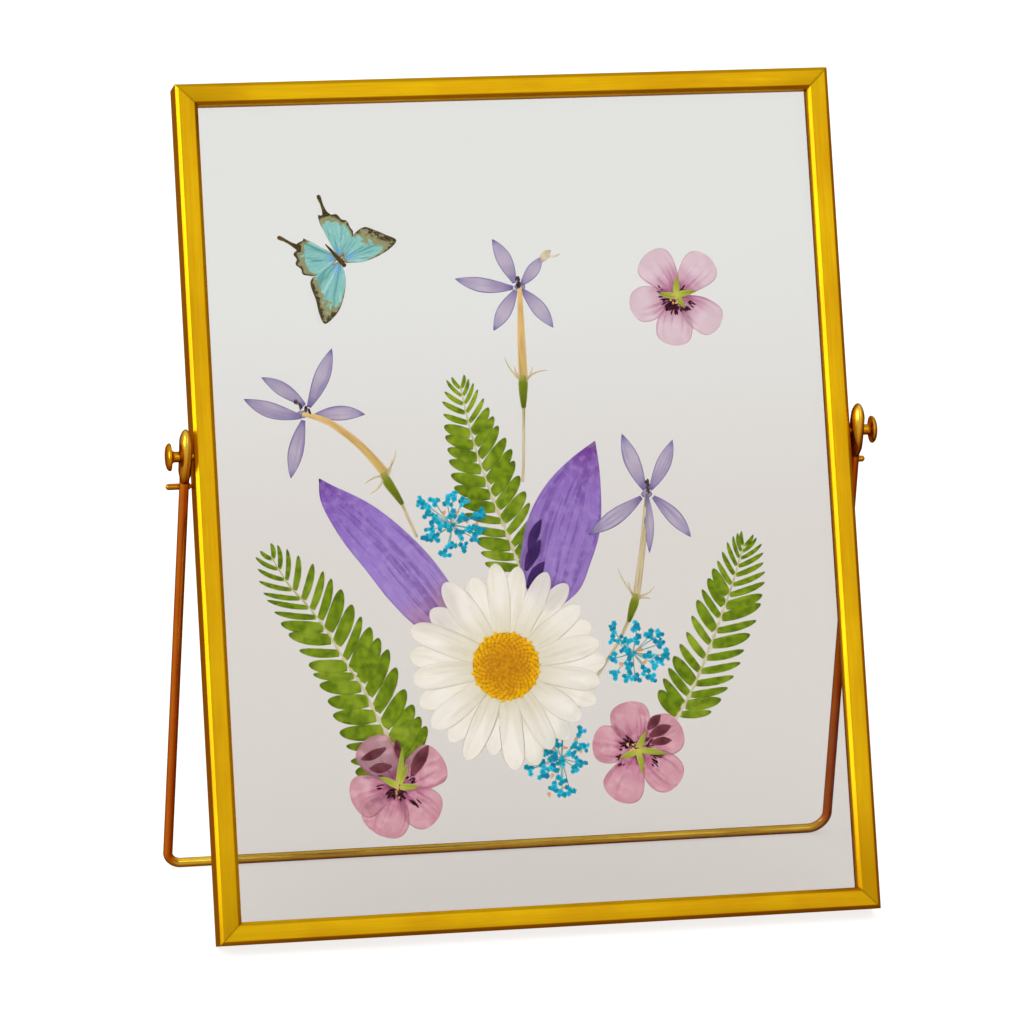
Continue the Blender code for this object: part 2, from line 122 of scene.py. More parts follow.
def new_material(name: str) -> tuple[Material, Tree, dict[str, Socket]]:
    """Start a material with nothing but the values that every piece's mesh carries.

    Args:
        name: Name of the real material.

    Returns:
        The material, its node tree and a socket for each value, with "away" for the distance from the middle.
    """
    material = bpy.data.materials.new(name)
    material.use_nodes = True
    tree = material.node_tree
    tree.nodes.clear()
    values = {label: add_node(tree, "ShaderNodeAttribute", {"attribute_name": label}).outputs["Fac"]
              for label in MARK_VALUES}
    values["away"] = add_node(tree, "ShaderNodeMath", {"operation": "ABSOLUTE"},
                              {0: values["across"]}).outputs[0]
    return material, tree, values


def streak_pattern(tree: Tree, values: dict[str, Socket], spacing: float, stretch: float,
                   detail: float) -> Socket:
    """Noise drawn out along a piece, for grain and veins.

    Args:
        tree: Node tree that takes the pattern.
        values: The mesh's values.
        spacing: Distance between streaks in millimetres.
        stretch: How many spacings long a streak is.
        detail: Octaves of finer noise.

    Returns:
        Socket with values about 0.5.
    """
    shift_by_tone = 37.0
    steps = (("side_mm", "DIVIDE", spacing), ("run_mm", "DIVIDE", spacing * stretch),
             ("tone", "MULTIPLY", shift_by_tone))
    parts = {
        index: add_node(tree, "ShaderNodeMath", {"operation": operation, 1: factor},
                        {0: values[label]}).outputs[0]
        for index, (label, operation, factor) in enumerate(steps)
    }
    place = add_node(tree, "ShaderNodeCombineXYZ", {}, parts)
    noise = add_node(tree, "ShaderNodeTexNoise", {"Scale": 1.0, "Detail": detail, "Roughness": 0.6},
                     {"Vector": place.outputs[0]})
    return noise.outputs["Fac"]


def mottle_pattern(tree: Tree, spacing: float, detail: float = 3.0) -> Socket:
    """Cloudy noise with patches of a size in millimetres, fixed to the piece's own place."""
    place = add_node(tree, "ShaderNodeTexCoord")
    settings = {"Scale": 1.0 / (spacing * MM), "Detail": detail, "Roughness": 0.55}
    return add_node(tree, "ShaderNodeTexNoise", settings, {"Vector": place.outputs["Object"]}).outputs["Fac"]


def coloured(tree: Tree, under: Socket | str, over: Socket | str, *patterns: Pattern,
             mode: str = "MIX") -> Socket:
    """Lay a colour over another where patterns rise, smoothly and clamped.

    Args:
        tree: Node tree that takes the nodes.
        under: Colour below, as a hex code or a socket.
        over: Colour laid on it.
        patterns: Each a socket, where its rise starts and ends, and the shares it rises between.
        mode: Blend mode, such as MIX or MULTIPLY.

    Returns:
        Socket with the colour.
    """
    shares = []
    for source, start, end, low, high in patterns:
        settings = {"interpolation_type": "SMOOTHSTEP", 1: start, 2: end, 3: low, 4: high}
        shares.append(add_node(tree, "ShaderNodeMapRange", settings, {0: source}).outputs[0])
    amount = shares[0]
    for share in shares[1:]:
        amount = add_node(tree, "ShaderNodeMath", {"operation": "MULTIPLY"}, {0: amount, 1: share}).outputs[0]
    fixed: dict[Any, Any] = {"data_type": "RGBA", "blend_type": mode}
    links: dict[Any, Socket] = {0: amount}
    for index, colour in ((6, under), (7, over)):
        if isinstance(colour, str):
            fixed[index] = linear(colour)
        else:
            links[index] = colour
    return add_node(tree, "ShaderNodeMix", fixed, links).outputs[2]


def metal_surface(tree: Tree, hue: Socket, grain: Socket, roughness: tuple[float, float], glancing: str,
                  coat: tuple[float, float], relief: tuple[float, float]) -> None:
    """Give a material its metal surface: the grain shifts its roughness and bends its normal.

    Args:
        tree: Node tree that takes the nodes.
        hue: Colour seen straight on.
        grain: Pattern of the grain.
        roughness: Lowest and highest roughness.
        glancing: Tint seen at a glancing angle.
        coat: Weight and roughness of the lacquer.
        relief: Rise of the grain in millimetres and how strongly it shows.
    """
    settings = {"interpolation_type": "SMOOTHSTEP", 1: 0.27, 2: 0.73, 3: roughness[0], 4: roughness[1]}
    rough = add_node(tree, "ShaderNodeMapRange", settings, {0: grain})
    bump = add_node(tree, "ShaderNodeBump", {"Strength": relief[1], "Distance": relief[0] * MM},
                    {"Height": grain})
    metal = add_node(
        tree, "ShaderNodeBsdfPrincipled",
        {"Metallic": 1.0, "Specular Tint": linear(glancing), "Coat Weight": coat[0],
         "Coat Roughness": coat[1]},
        {"Base Color": hue, "Roughness": rough.outputs[0], "Normal": bump.outputs["Normal"]},
    )
    add_node(tree, "ShaderNodeOutputMaterial", {}, {"Surface": metal.outputs[0]})


def tissue_surface(tree: Tree, hue: Socket, relief: tuple[Socket, float, float], roughness: float,
                   gloss: float,
                   lit_through: float, clearness: float = 0.0, ior: float = 1.4) -> None:
    """Give a material the surface of thin dry tissue: matt, lit through and stained where it is clear.

    Args:
        tree: Node tree that takes the nodes.
        hue: Its colour.
        relief: Height pattern, its rise in millimetres and how strongly it shows.
        roughness: Roughness of its face.
        gloss: Specular level of its face.
        lit_through: Share of light that passes through and spreads.
        clearness: Share of light that passes straight through, stained.
        ior: Index of refraction.
    """
    pattern, rise, strength = relief
    bump = add_node(tree, "ShaderNodeBump", {"Strength": strength, "Distance": rise * MM},
                    {"Height": pattern})
    skin = {"Normal": bump.outputs["Normal"]}
    face = add_node(tree, "ShaderNodeBsdfPrincipled",
                    {"Roughness": roughness, "IOR": ior, "Specular IOR Level": gloss},
                    {"Base Color": hue, **skin})
    through = add_node(tree, "ShaderNodeBsdfTranslucent", {}, {"Color": hue, **skin})
    shader = add_node(tree, "ShaderNodeMixShader", {0: lit_through},
                      {1: face.outputs[0], 2: through.outputs[0]})
    if clearness > 0.0:
        stained = add_node(tree, "ShaderNodeBsdfTransparent", {}, {"Color": hue})
        shader = add_node(tree, "ShaderNodeMixShader", {0: clearness},
                          {1: shader.outputs[0], 2: stained.outputs[0]})
    add_node(tree, "ShaderNodeOutputMaterial", {}, {"Surface": shader.outputs[0]})


# Finishes


@dataclass(frozen=True)
class DrawnGold:
    """Brass bar, lacquered gold: satin flats with a faint drawn grain and slow shifts of hue, and painted shade on
    the walls of its rebate.
    """

    name: str = "lacquered_brass_bar"
    light: str = "#e0b40b"
    deep: str = "#d2a009"
    # Dark brown painted on the rebate walls in place of the shade that falls in the channel.
    recess_shade: str = "#5a3406"
    glancing: str = "#cfa070"
    grain_shade: str = "#d8b070"
    roughness: float = 0.34
    grain_spacing: float = 0.22
    band_spacing: float = 1.3
    mottle_spacing: float = 26.0

    def make(self) -> Material:
        """Build the material."""
        material, tree, values = new_material(self.name)
        grain = streak_pattern(tree, values, self.grain_spacing, 60.0, 3.0)
        bands = streak_pattern(tree, values, self.band_spacing, 50.0, 1.0)
        cloud = mottle_pattern(tree, self.mottle_spacing)
        hue = coloured(tree, self.light, self.deep, (cloud, 0.32, 0.70, 0.0, 1.0))
        hue = coloured(tree, hue, self.deep, (bands, 0.35, 0.70, 0.0, 0.35))
        hue = coloured(tree, hue, self.grain_shade, (grain, 0.30, 0.70, 0.0, 0.14), mode="MULTIPLY")
        # Painted shade: the rebate walls, marked by the mesh's across value, take the dark brown.
        hue = coloured(tree, hue, self.recess_shade, (values["across"], 0.0, 1.0, 0.0, 1.0))
        metal_surface(tree, hue, grain, (self.roughness - 0.04, self.roughness + 0.05), self.glancing,
                      coat=(0.04, 0.10), relief=(0.003, 0.4))
        return material


@dataclass(frozen=True)
class BentWire:
    """Brass rod bent cold: polished gold, with a copper-coloured painted shade along the legs."""

    name: str = "polished_brass_wire"
    bright: str = "#ffda48"
    # Copper-orange painted on the legs in place of the shade that dims them.
    shade_copper: str = "#f08c26"
    worn: str = "#e0b888"
    glancing: str = "#7a1c0c"
    roughness: float = 0.22
    grain_spacing: float = 0.25
    mottle_spacing: float = 6.0

    def make(self) -> Material:
        """Build the material."""
        material, tree, values = new_material(self.name)
        grain = streak_pattern(tree, values, self.grain_spacing, 60.0, 2.0)
        cloud = mottle_pattern(tree, self.mottle_spacing)
        # Painted shade: gold where the along value is nought, copper where it is one, up the legs.
        hue = coloured(tree, self.bright, self.shade_copper, (values["along"], 0.0, 1.0, 0.0, 1.0))
        hue = coloured(tree, hue, self.worn, (cloud, 0.35, 0.70, 0.0, 0.3), mode="MULTIPLY")
        metal_surface(tree, hue, grain, (self.roughness - 0.05, self.roughness + 0.07), self.glancing,
                      coat=(0.10, 0.08), relief=(0.002, 0.3))
        return material


@dataclass(frozen=True)
class FloatGlass:
    """Coated float glass: next to no glare and a grey tint, with painted shade that makes its foot darker and
    warmer than its head.
    """

    name: str = "coated_float_glass"
    foot: str = "#f9f9f8"
    head: str = "#fafafa"
    coating: str = "#44474e"

    def make(self) -> Material:
        """Build the material."""
        material, tree, values = new_material(self.name)
        # Painted shade: the colour darkens and warms from head to foot, for the shaded floor seen through the
        # lower glass.
        tint_with_painted_shade = coloured(tree, self.foot, self.head, (values["along"], 0.40, 0.80, 0.0, 1.0))
        pane = add_node(tree, "ShaderNodeBsdfPrincipled", {
            "Roughness": 0.0, "IOR": 1.5, "Transmission Weight": 1.0, "Specular Tint": linear(self.coating),
        }, {"Base Color": tint_with_painted_shade})
        add_node(tree, "ShaderNodeOutputMaterial", {}, {"Surface": pane.outputs[0]})
        return material


@dataclass(frozen=True)
class DriedPetal:
    """Petal tissue, pressed and dried: thin, matt, lit through, with veins fanning from its root."""

    name: str
    ramp: Ramp
    edge: str
    vein: str
    edge_width: float = 0.16
    edge_strength: float = 0.75
    vein_spacing: float = 0.45
    vein_strength: float = 0.5
    vein_at_tip: float = 0.6
    blotch: str = "#ffffff"
    blotch_strength: float = 0.3
    blotch_spacing: float = 1.8
    lit_through: float = 0.40
    clearness: float = 0.0
    roughness: float = 0.65
    relief: float = 0.03

    def make(self) -> Material:
        """Build the material."""
        material, tree, values = new_material(self.name)
        veins = streak_pattern(tree, values, self.vein_spacing, 22.0, 2.5)
        cloud = mottle_pattern(tree, self.blotch_spacing)
        hue = add_node(tree, "ShaderNodeValToRGB", {"ramp": self.ramp}, {0: values["along"]}).outputs[0]
        hue = coloured(tree, hue, self.vein, (veins, 0.46, 0.64, 0.0, self.vein_strength),
                       (values["along"], 0.2, 0.9, 1.0, self.vein_at_tip))
        hue = coloured(tree, hue, self.blotch, (cloud, 0.42, 0.70, 0.0, self.blotch_strength))
        hue = coloured(tree, hue, self.edge, (values["away"], 1.0 - self.edge_width, 1.0, 0.0,
                                              self.edge_strength))
        tissue_surface(tree, hue, (veins, self.relief, 0.7), self.roughness, 0.12, self.lit_through,
                       self.clearness)
        return material


@dataclass(frozen=True)
class DriedStem:
    """Stem, tube or sepal tissue, pressed: fibres along its length and paler edges."""

    name: str
    ramp: Ramp
    edge: str
    fibre_shade: str = "#b89a68"
    fibre_spacing: float = 0.3
    lit_through: float = 0.25

    def make(self) -> Material:
        """Build the material."""
        material, tree, values = new_material(self.name)
        fibres = streak_pattern(tree, values, self.fibre_spacing, 25.0, 2.0)
        hue = add_node(tree, "ShaderNodeValToRGB", {"ramp": self.ramp}, {0: values["along"]}).outputs[0]
        hue = coloured(tree, hue, self.fibre_shade, (fibres, 0.45, 0.70, 0.0, 0.45), mode="MULTIPLY")
        hue = coloured(tree, hue, self.edge, (values["away"], 0.55, 1.0, 0.0, 0.7))
        tissue_surface(tree, hue, (fibres, 0.03, 0.6), 0.6, 0.12, self.lit_through)
        return material


@dataclass(frozen=True)
class FernBlade:
    """Fern leaflet, pressed: moss green, darker at the tips, with side veins off a midrib."""

    name: str = "pressed_fern_leaflet"
    light: str = "#a8bc36"
    body: str = "#82a008"
    dark: str = "#4f6a00"
    vein_spacing: float = 0.55
    cloud_spacing: float = 1.4
    patch_spacing: float = 7.0

    def make(self) -> Material:
        """Build the material."""
        material, tree, values = new_material(self.name)
        side = add_node(tree, "ShaderNodeMath", {"operation": "ABSOLUTE"}, {0: values["side_mm"]})
        slant = add_node(tree, "ShaderNodeMath", {"operation": "SUBTRACT"},
                         {0: values["run_mm"], 1: side.outputs[0]})
        turns = add_node(tree, "ShaderNodeMath",
                         {"operation": "MULTIPLY", 1: 2.0 * math.pi / self.vein_spacing},
                         {0: slant.outputs[0]})
        veins = add_node(tree, "ShaderNodeMath", {"operation": "SINE"}, {0: turns.outputs[0]}).outputs[0]
        cloud = mottle_pattern(tree, self.cloud_spacing)
        patches = mottle_pattern(tree, self.patch_spacing)
        hue = coloured(tree, self.body, self.dark, (cloud, 0.35, 0.68, 0.0, 1.0))
        hue = coloured(tree, hue, self.light, (patches, 0.45, 0.72, 0.0, 0.7))
        hue = coloured(tree, hue, self.light, (veins, 0.5, 1.0, 0.0, 0.35))
        hue = coloured(tree, hue, self.dark, (values["along"], 0.80, 1.0, 0.0, 0.8))
        hue = coloured(tree, hue, self.light, (values["along"], 0.0, 0.10, 0.55, 0.0))
        height = add_node(tree, "ShaderNodeMath", {"operation": "ADD"}, {0: veins, 1: cloud}).outputs[0]
        tissue_surface(tree, hue, (height, 0.02, 0.6), 0.6, 0.06, 0.25)
        return material


@dataclass(frozen=True)
class WingScales:
    """Butterfly wing: turquoise scales with pale streaks, khaki then dark brown to the margin."""

    name: str = "butterfly_wing_scales"
    field_hue: str = "#98d6d2"
    root_hue: str = "#6fb0ea"
    streak: str = "#c3f0f2"
    khaki: str = "#a89a58"
    margin: str = "#4d3d12"
    vein: str = "#4c9fa4"
    dust: str = "#9a9078"

    def make(self) -> Material:
        """Build the material."""
        material, tree, values = new_material(self.name)
        streaks = streak_pattern(tree, values, 0.8, 12.0, 2.0)
        cloud = mottle_pattern(tree, 1.1)
        grain = mottle_pattern(tree, 0.25, 1.0)
        hue = coloured(tree, self.field_hue, self.root_hue, (values["along"], 0.05, 0.40, 1.0, 0.0))
        hue = coloured(tree, hue, self.streak, (streaks, 0.50, 0.70, 0.0, 0.7))
        hue = coloured(tree, hue, self.vein, (streaks, 0.46, 0.32, 0.0, 0.7))
        worn = add_node(tree, "ShaderNodeMath", {"operation": "MULTIPLY_ADD", 1: 1.9, 2: -0.95}, {0: cloud})
        band = add_node(tree, "ShaderNodeMath", {"operation": "ADD"},
                        {0: values["across"], 1: worn.outputs[0]}).outputs[0]
        hue = coloured(tree, hue, self.khaki, (band, -0.10, 0.15, 0.0, 0.85))
        hue = coloured(tree, hue, self.margin, (band, 0.52, 0.80, 0.0, 1.0))
        hue = coloured(tree, hue, self.dust, (grain, 0.30, 0.70, 0.0, 0.25), mode="MULTIPLY")
        tissue_surface(tree, hue, (grain, 0.02, 0.5), 0.45, 0.2, 0.3, ior=1.55)
        return material


@dataclass(frozen=True)
class TinyFloret:
    """Small dried florets packed close: each a little lighter or darker than the next."""

    name: str
    ramp: Ramp
    heart: str
    shade: str = "#9a9a9a"
    lit_through: float = 0.2

    def make(self) -> Material:
        """Build the material."""
        material, tree, values = new_material(self.name)
        grain = mottle_pattern(tree, 0.3, 2.0)
        hue = add_node(tree, "ShaderNodeValToRGB", {"ramp": self.ramp}, {0: values["tone"]}).outputs[0]
        hue = coloured(tree, hue, self.heart, (values["along"], 0.0, 0.7, 0.8, 0.0))
        hue = coloured(tree, hue, self.shade, (grain, 0.40, 0.70, 0.0, 0.4), mode="MULTIPLY")
        tissue_surface(tree, hue, (grain, 0.03, 0.6), 0.7, 0.12, self.lit_through)
        return material


@dataclass(frozen=True)
class WhiteSweep:
    """Photographer's white acrylic sweep, lit from beneath: even, with hardly any shadow."""

    name: str = "backlit_white_acrylic"
    colour: str = "#8d8d8c"
    glow: str = "#fefefd"
    glow_strength: float = 0.82

    def make(self) -> Material:
        """Build the material."""
        material, tree, _ = new_material(self.name)
        sheet = add_node(tree, "ShaderNodeBsdfPrincipled", {
            "Base Color": linear(self.colour), "Roughness": 0.9, "Specular IOR Level": 0.2,
            "Emission Color": linear(self.glow), "Emission Strength": self.glow_strength,
        })
        add_node(tree, "ShaderNodeOutputMaterial", {}, {"Surface": sheet.outputs[0]})
        return material


# Shapes


@dataclass(frozen=True)
class FrameSpace:
    """The leaning frame's own axes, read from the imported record."""

    origin: Vector
    up: Vector
    back: Vector

    @classmethod
    def from_record(cls, record: dict[str, Any]) -> "FrameSpace":
        """Work the axes out from the flat face under the bottom bar.

        Args:
            record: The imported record.

        Returns:
            The space whose u, v and w are zero at the front bottom edge's middle.
        """
        face = next(mount for mount in record["mounts"] if mount["name"] == "underside")
        up = -Vector(face["axis"]).normalized()
        back = Vector((0.0, up.z, -up.y))
        depth_of_point = 5.0
        return cls(Vector(face["pos_m"]) - back * (depth_of_point * MM), up, back)

    def matrix(self) -> Matrix:
        """Matrix from millimetres of u, v, w to metres of the world."""
        columns = (Vector((1.0, 0.0, 0.0)), self.up, self.back)
        matrix = Matrix.Identity(4)
        for index, column in enumerate(columns):
            for row in range(3):
                matrix[row][index] = column[row] * MM
        for row in range(3):
            matrix[row][3] = self.origin[row]
        return matrix

    def span(self, node: str) -> tuple[Vector, Vector]:
        """Lowest and highest u, v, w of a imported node, in millimetres."""
        back = self.matrix().inverted()
        points = [back @ vertex.co for vertex in frame["nodes"][node].data.vertices]
        low = Vector([min(point[axis] for point in points) for axis in range(3)])
        high = Vector([max(point[axis] for point in points) for axis in range(3)])
        return low, high

    def layer(self, node: str) -> float:
        """Depth of the middle of a specimen's plate."""
        low, high = self.span(node)
        return (low.z + high.z) / 2.0


@dataclass(frozen=True)
class Mark:
    """One point of a surface, with what its material needs to know there."""

    place: Vector
    along: float = 0.0
    across: float = 0.0
    run_mm: float = 0.0
    side_mm: float = 0.0
    tone: float = 0.0


@dataclass
class Patchwork:
    """Surfaces of one piece, gathered from rows of marks, that become one mesh."""

    marks: list[Mark] = field(default_factory=list)
    faces: list[tuple[int, ...]] = field(default_factory=list)
    slots: list[int] = field(default_factory=list)

    def add_rows(self, rows: Sequence[Sequence[Mark]], slot: int = 0, wrap: bool = False,
                 capped: bool = False) -> None:
        """Join rows of marks with faces.

        Args:
            rows: Rows of equal length.
            slot: Material slot of the faces.
            wrap: True if each row is a closed ring.
            capped: True to close the first and last ring.
        """
        start = len(self.marks)
        width = len(rows[0])
        for row in rows:
            self.marks.extend(row)
        columns = width if wrap else width - 1
        for down in range(len(rows) - 1):
            for column in range(columns):
                after = (column + 1) % width
                first = start + down * width
                self.faces.append((first + column, first + after, first + width + after,
                                   first + width + column))
                self.slots.append(slot)
        if capped:
            last = start + (len(rows) - 1) * width
            self.faces.append(tuple(start + index for index in reversed(range(width))))
            self.faces.append(tuple(last + index for index in range(width)))
            self.slots.extend((slot, slot))

    def build(self, name: str, matrix: Matrix, materials: Sequence[Material],
              thickness: float = 0.0, crease: float = 180.0) -> bpy.types.Object:
        """Make the piece's object.

        Args:
            name: Name of the piece.
            matrix: From the marks' millimetres to metres of the world.
            materials: One for each slot used.
            thickness: Millimetres of thickness given to open sheets, or nothing.
            crease: Degrees past which an edge is kept sharp.

        Returns:
            The object, in place.
        """
        mesh = bpy.data.meshes.new(name)
        mesh.from_pydata([matrix @ mark.place for mark in self.marks], [], self.faces)
        for label in MARK_VALUES:
            layer = mesh.attributes.new(label, "FLOAT", "POINT")
            layer.data.foreach_set("value", [getattr(mark, label) for mark in self.marks])
        for material in materials:
            mesh.materials.append(material)
        mesh.polygons.foreach_set("material_index", self.slots)
        welder = bmesh.new()
        welder.from_mesh(mesh)
        bmesh.ops.recalc_face_normals(welder, faces=welder.faces)
        welder.to_mesh(mesh)
        welder.free()
        mesh.shade_smooth()
        if crease < 180.0:
            mesh.set_sharp_from_angle(angle=math.radians(crease))
        piece = bpy.data.objects.new(name, mesh)
        bpy.context.scene.collection.objects.link(piece)
        if thickness > 0.0:
            sheet = piece.modifiers.new("Thickness", "SOLIDIFY")
            sheet.thickness = thickness * MM
            sheet.offset = 0.0
        return piece


class Outline(Enum):
    """Named forms of a petal or leaflet, from its root at 0 to its tip at 1."""

    LANCE = "lance"
    SPOON = "spoon"
    STRAP = "strap"
    LEAFLET = "leaflet"
    THREAD = "thread"

    def width(self, share: float) -> float:
        """Half width at a share of the length, where the widest place is one.

        Args:
            share: Place along the length, from 0 to 1.

        Returns:
            Half width from 0 to 1.
        """
        root, peak, power = {
            Outline.LANCE: (0.26, 0.54, 1.7),
            Outline.SPOON: (0.12, 0.70, 2.6),
            Outline.STRAP: (0.66, 0.58, 3.0),
            Outline.LEAFLET: (0.74, 0.40, 2.3),
            Outline.THREAD: (1.00, 0.20, 1.3),
        }[self]
        if share < peak:
            rise = math.sin(0.5 * math.pi * share / peak)
            return root + (1.0 - root) * rise
        fall = (share - peak) / (1.0 - peak)
        return max(0.0, 1.0 - fall ** power) ** (0.9 if self is Outline.LANCE else 0.55)


def spline(points: Sequence[Sequence[float]], steps: int) -> list[Vector]:
    """Catmull-Rom curve through points of any size.

    Args:
        points: Points to pass through.
        steps: Stretches between each two points.

    Returns:
        Points along the curve.
    """
    given = [Vector(point) for point in points]
    padded = [2.0 * given[0] - given[1], *given, 2.0 * given[-1] - given[-2]]
    curve = []
    for index in range(1, len(padded) - 2):
        before, start, end, after = padded[index - 1:index + 3]
        for step in range(steps):
            share = step / steps
            curve.append(0.5 * (
                2.0 * start + (end - before) * share
                + (2.0 * before - 5.0 * start + 4.0 * end - after) * share ** 2
                + (3.0 * start - before - 3.0 * end + after) * share ** 3
            ))
    curve.append(given[-1])
    return curve


def bow(start: Point, end: Point, bend: float) -> Callable[[float], Vector]:
    """Curve from start to end that bows sideways by a share of its length."""
    first, last = Vector(start), Vector(end)
    run = last - first
    middle = (first + last) / 2.0 + Vector((-run.y, run.x)) * bend

    def place(share: float) -> Vector:
        """Point at a share of the way along."""
        near = first.lerp(middle, share)
        return near.lerp(middle.lerp(last, share), share)

    return place


def polar(centre: Point, heading: float, distance: float) -> Point:
    """Point at a distance from a centre, in a direction given in degrees."""
    angle = math.radians(heading)
    return (centre[0] + distance * math.cos(angle), centre[1] + distance * math.sin(angle))


def blade(work: Patchwork, curve: Callable[[float], Vector], half_width: Callable[[float], float],
          depth: float,
          slot: int = 0, tone: float = 0.0, rows: int = 20, columns: int = 9, crown: float = 0.0,
          ripple: float = 0.0, reach: float | None = None) -> None:
    """Add a petal or leaflet: a thin sheet along a curve.

    Args:
        work: Patchwork that takes it.
        curve: Middle line, from root to tip.
        half_width: Half width in millimetres along it.
        depth: Depth of the sheet's middle.
        slot: Material slot.
        tone: Random number of this one, from 0 to 1.
        rows: Rows of marks along it.
        columns: Marks across it.
        crown: Rise of its middle towards the front.
        ripple: Height of its crumples.
        reach: Widest half width, which spaces its veins.
    """
    length = sum((curve((step + 1) / 8.0) - curve(step / 8.0)).length for step in range(8))
    widest = reach or max(half_width(step / 12.0) for step in range(13))
    made = []
    for row in range(rows):
        share = math.sin(0.5 * math.pi * row / (rows - 1)) ** 1.15
        centre = curve(share)
        run = (curve(min(share + 0.01, 1.0)) - curve(max(share - 0.01, 0.0))).normalized()
        normal = Vector((-run.y, run.x))
        half = max(half_width(share), 0.02)
        line = []
        for column in range(columns):
            side = 2.0 * column / (columns - 1) - 1.0
            flat = centre + normal * (side * half)
            wave = math.sin(share * 17.0 + side * 2.1 + tone * 40.0) * math.cos(side * 5.0 + tone * 23.0)
            rise = crown * (1.0 - side * side) + ripple * wave
            place = Vector((flat.x, flat.y, depth - rise))
            line.append(Mark(place, share, side, share * length, side * widest, tone))
        made.append(line)
    work.add_rows(made, slot)


def round_stem(work: Patchwork, stations: Sequence[Station], depth: float, slot: int = 0, tone: float = 0.0,
               flatness: float = 0.35, thickest: float = 0.13, steps: int = 6, sides: int = 12) -> None:
    """Add a pressed tube or stem along (u, v, half width) stations."""
    path = spline(stations, steps)
    rings = []
    travelled = 0.0
    for index, station in enumerate(path):
        before, after = path[max(index - 1, 0)], path[min(index + 1, len(path) - 1)]
        run = Vector((after.x - before.x, after.y - before.y)).normalized()
        normal = Vector((-run.y, run.x))
        if index:
            travelled += Vector((station.x - before.x, station.y - before.y)).length
        half = max(station.z, 0.08)
        thick = min(half * flatness, thickest)
        ring = []
        for side in range(sides):
            angle = 2.0 * math.pi * side / sides
            flat = Vector((station.x, station.y)) + normal * (half * math.cos(angle))
            place = Vector((flat.x, flat.y, depth - thick * math.sin(angle)))
            ring.append(Mark(place, index / (len(path) - 1), math.cos(angle), travelled,
                             half * math.cos(angle),
                             tone))
        rings.append(ring)
    work.add_rows(rings, slot, wrap=True, capped=True)


def pad(work: Patchwork, centre: Point, radii: tuple[float, float], depth: float, slot: int = 0,
        tone: float = 0.0, turn: float = 0.0, rise: float = 0.06, lobes: int = 0, lobe_depth: float = 0.0,
        sides: int = 16, rings: int = 4) -> None:
    """Add a small flattened blob, or a lobed floret, that bulges to the front and lies flat behind.

    Args:
        work: Patchwork that takes it.
        centre: Its middle.
        radii: Half sizes along and across its heading.
        depth: Depth of its flat back.
        slot: Material slot.
        tone: Random number of this one.
        turn: Heading in degrees.
        rise: Height of its bulge.
        lobes: Number of lobes round it.
        lobe_depth: Share of the radius between lobes that is cut away.
        sides: Marks round it.
        rings: Rings from its middle to its edge.
    """
    angle = math.radians(turn)
    cosine, sine = math.cos(angle), math.sin(angle)
    made = []
    for ring in range(rings + 1):
        share = max(ring / rings, 0.06)
        line = []
        for side in range(sides):
            around = 2.0 * math.pi * side / sides
            cut = 1.0 - lobe_depth * (0.5 + 0.5 * math.cos(lobes * around)) if lobes else 1.0
            x, y = radii[0] * share * cut * math.cos(around), radii[1] * share * cut * math.sin(around)
            flat = (centre[0] + x * cosine - y * sine, centre[1] + x * sine + y * cosine)
            height = rise * math.sqrt(max(0.0, 1.0 - share * share))
            line.append(Mark(Vector((*flat, depth - height)), share, share, x, y, tone))
        made.append(line)
    made.append([Mark(Vector((mark.place.x, mark.place.y, depth + 0.02)), 1.0, 1.0, mark.run_mm, mark.side_mm,
                      tone)
                 for mark in made[-1]])
    work.add_rows(made, slot, wrap=True, capped=True)


def finish_piece(piece: bpy.types.Object, body: str, slot: str, nodes: Iterable[str]) -> bpy.types.Object:
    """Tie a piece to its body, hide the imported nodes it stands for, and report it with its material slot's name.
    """
    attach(piece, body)
    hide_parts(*nodes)
    LOG.info("%s rides on %s as %s", piece.name, body, slot)
    return piece


# Holder


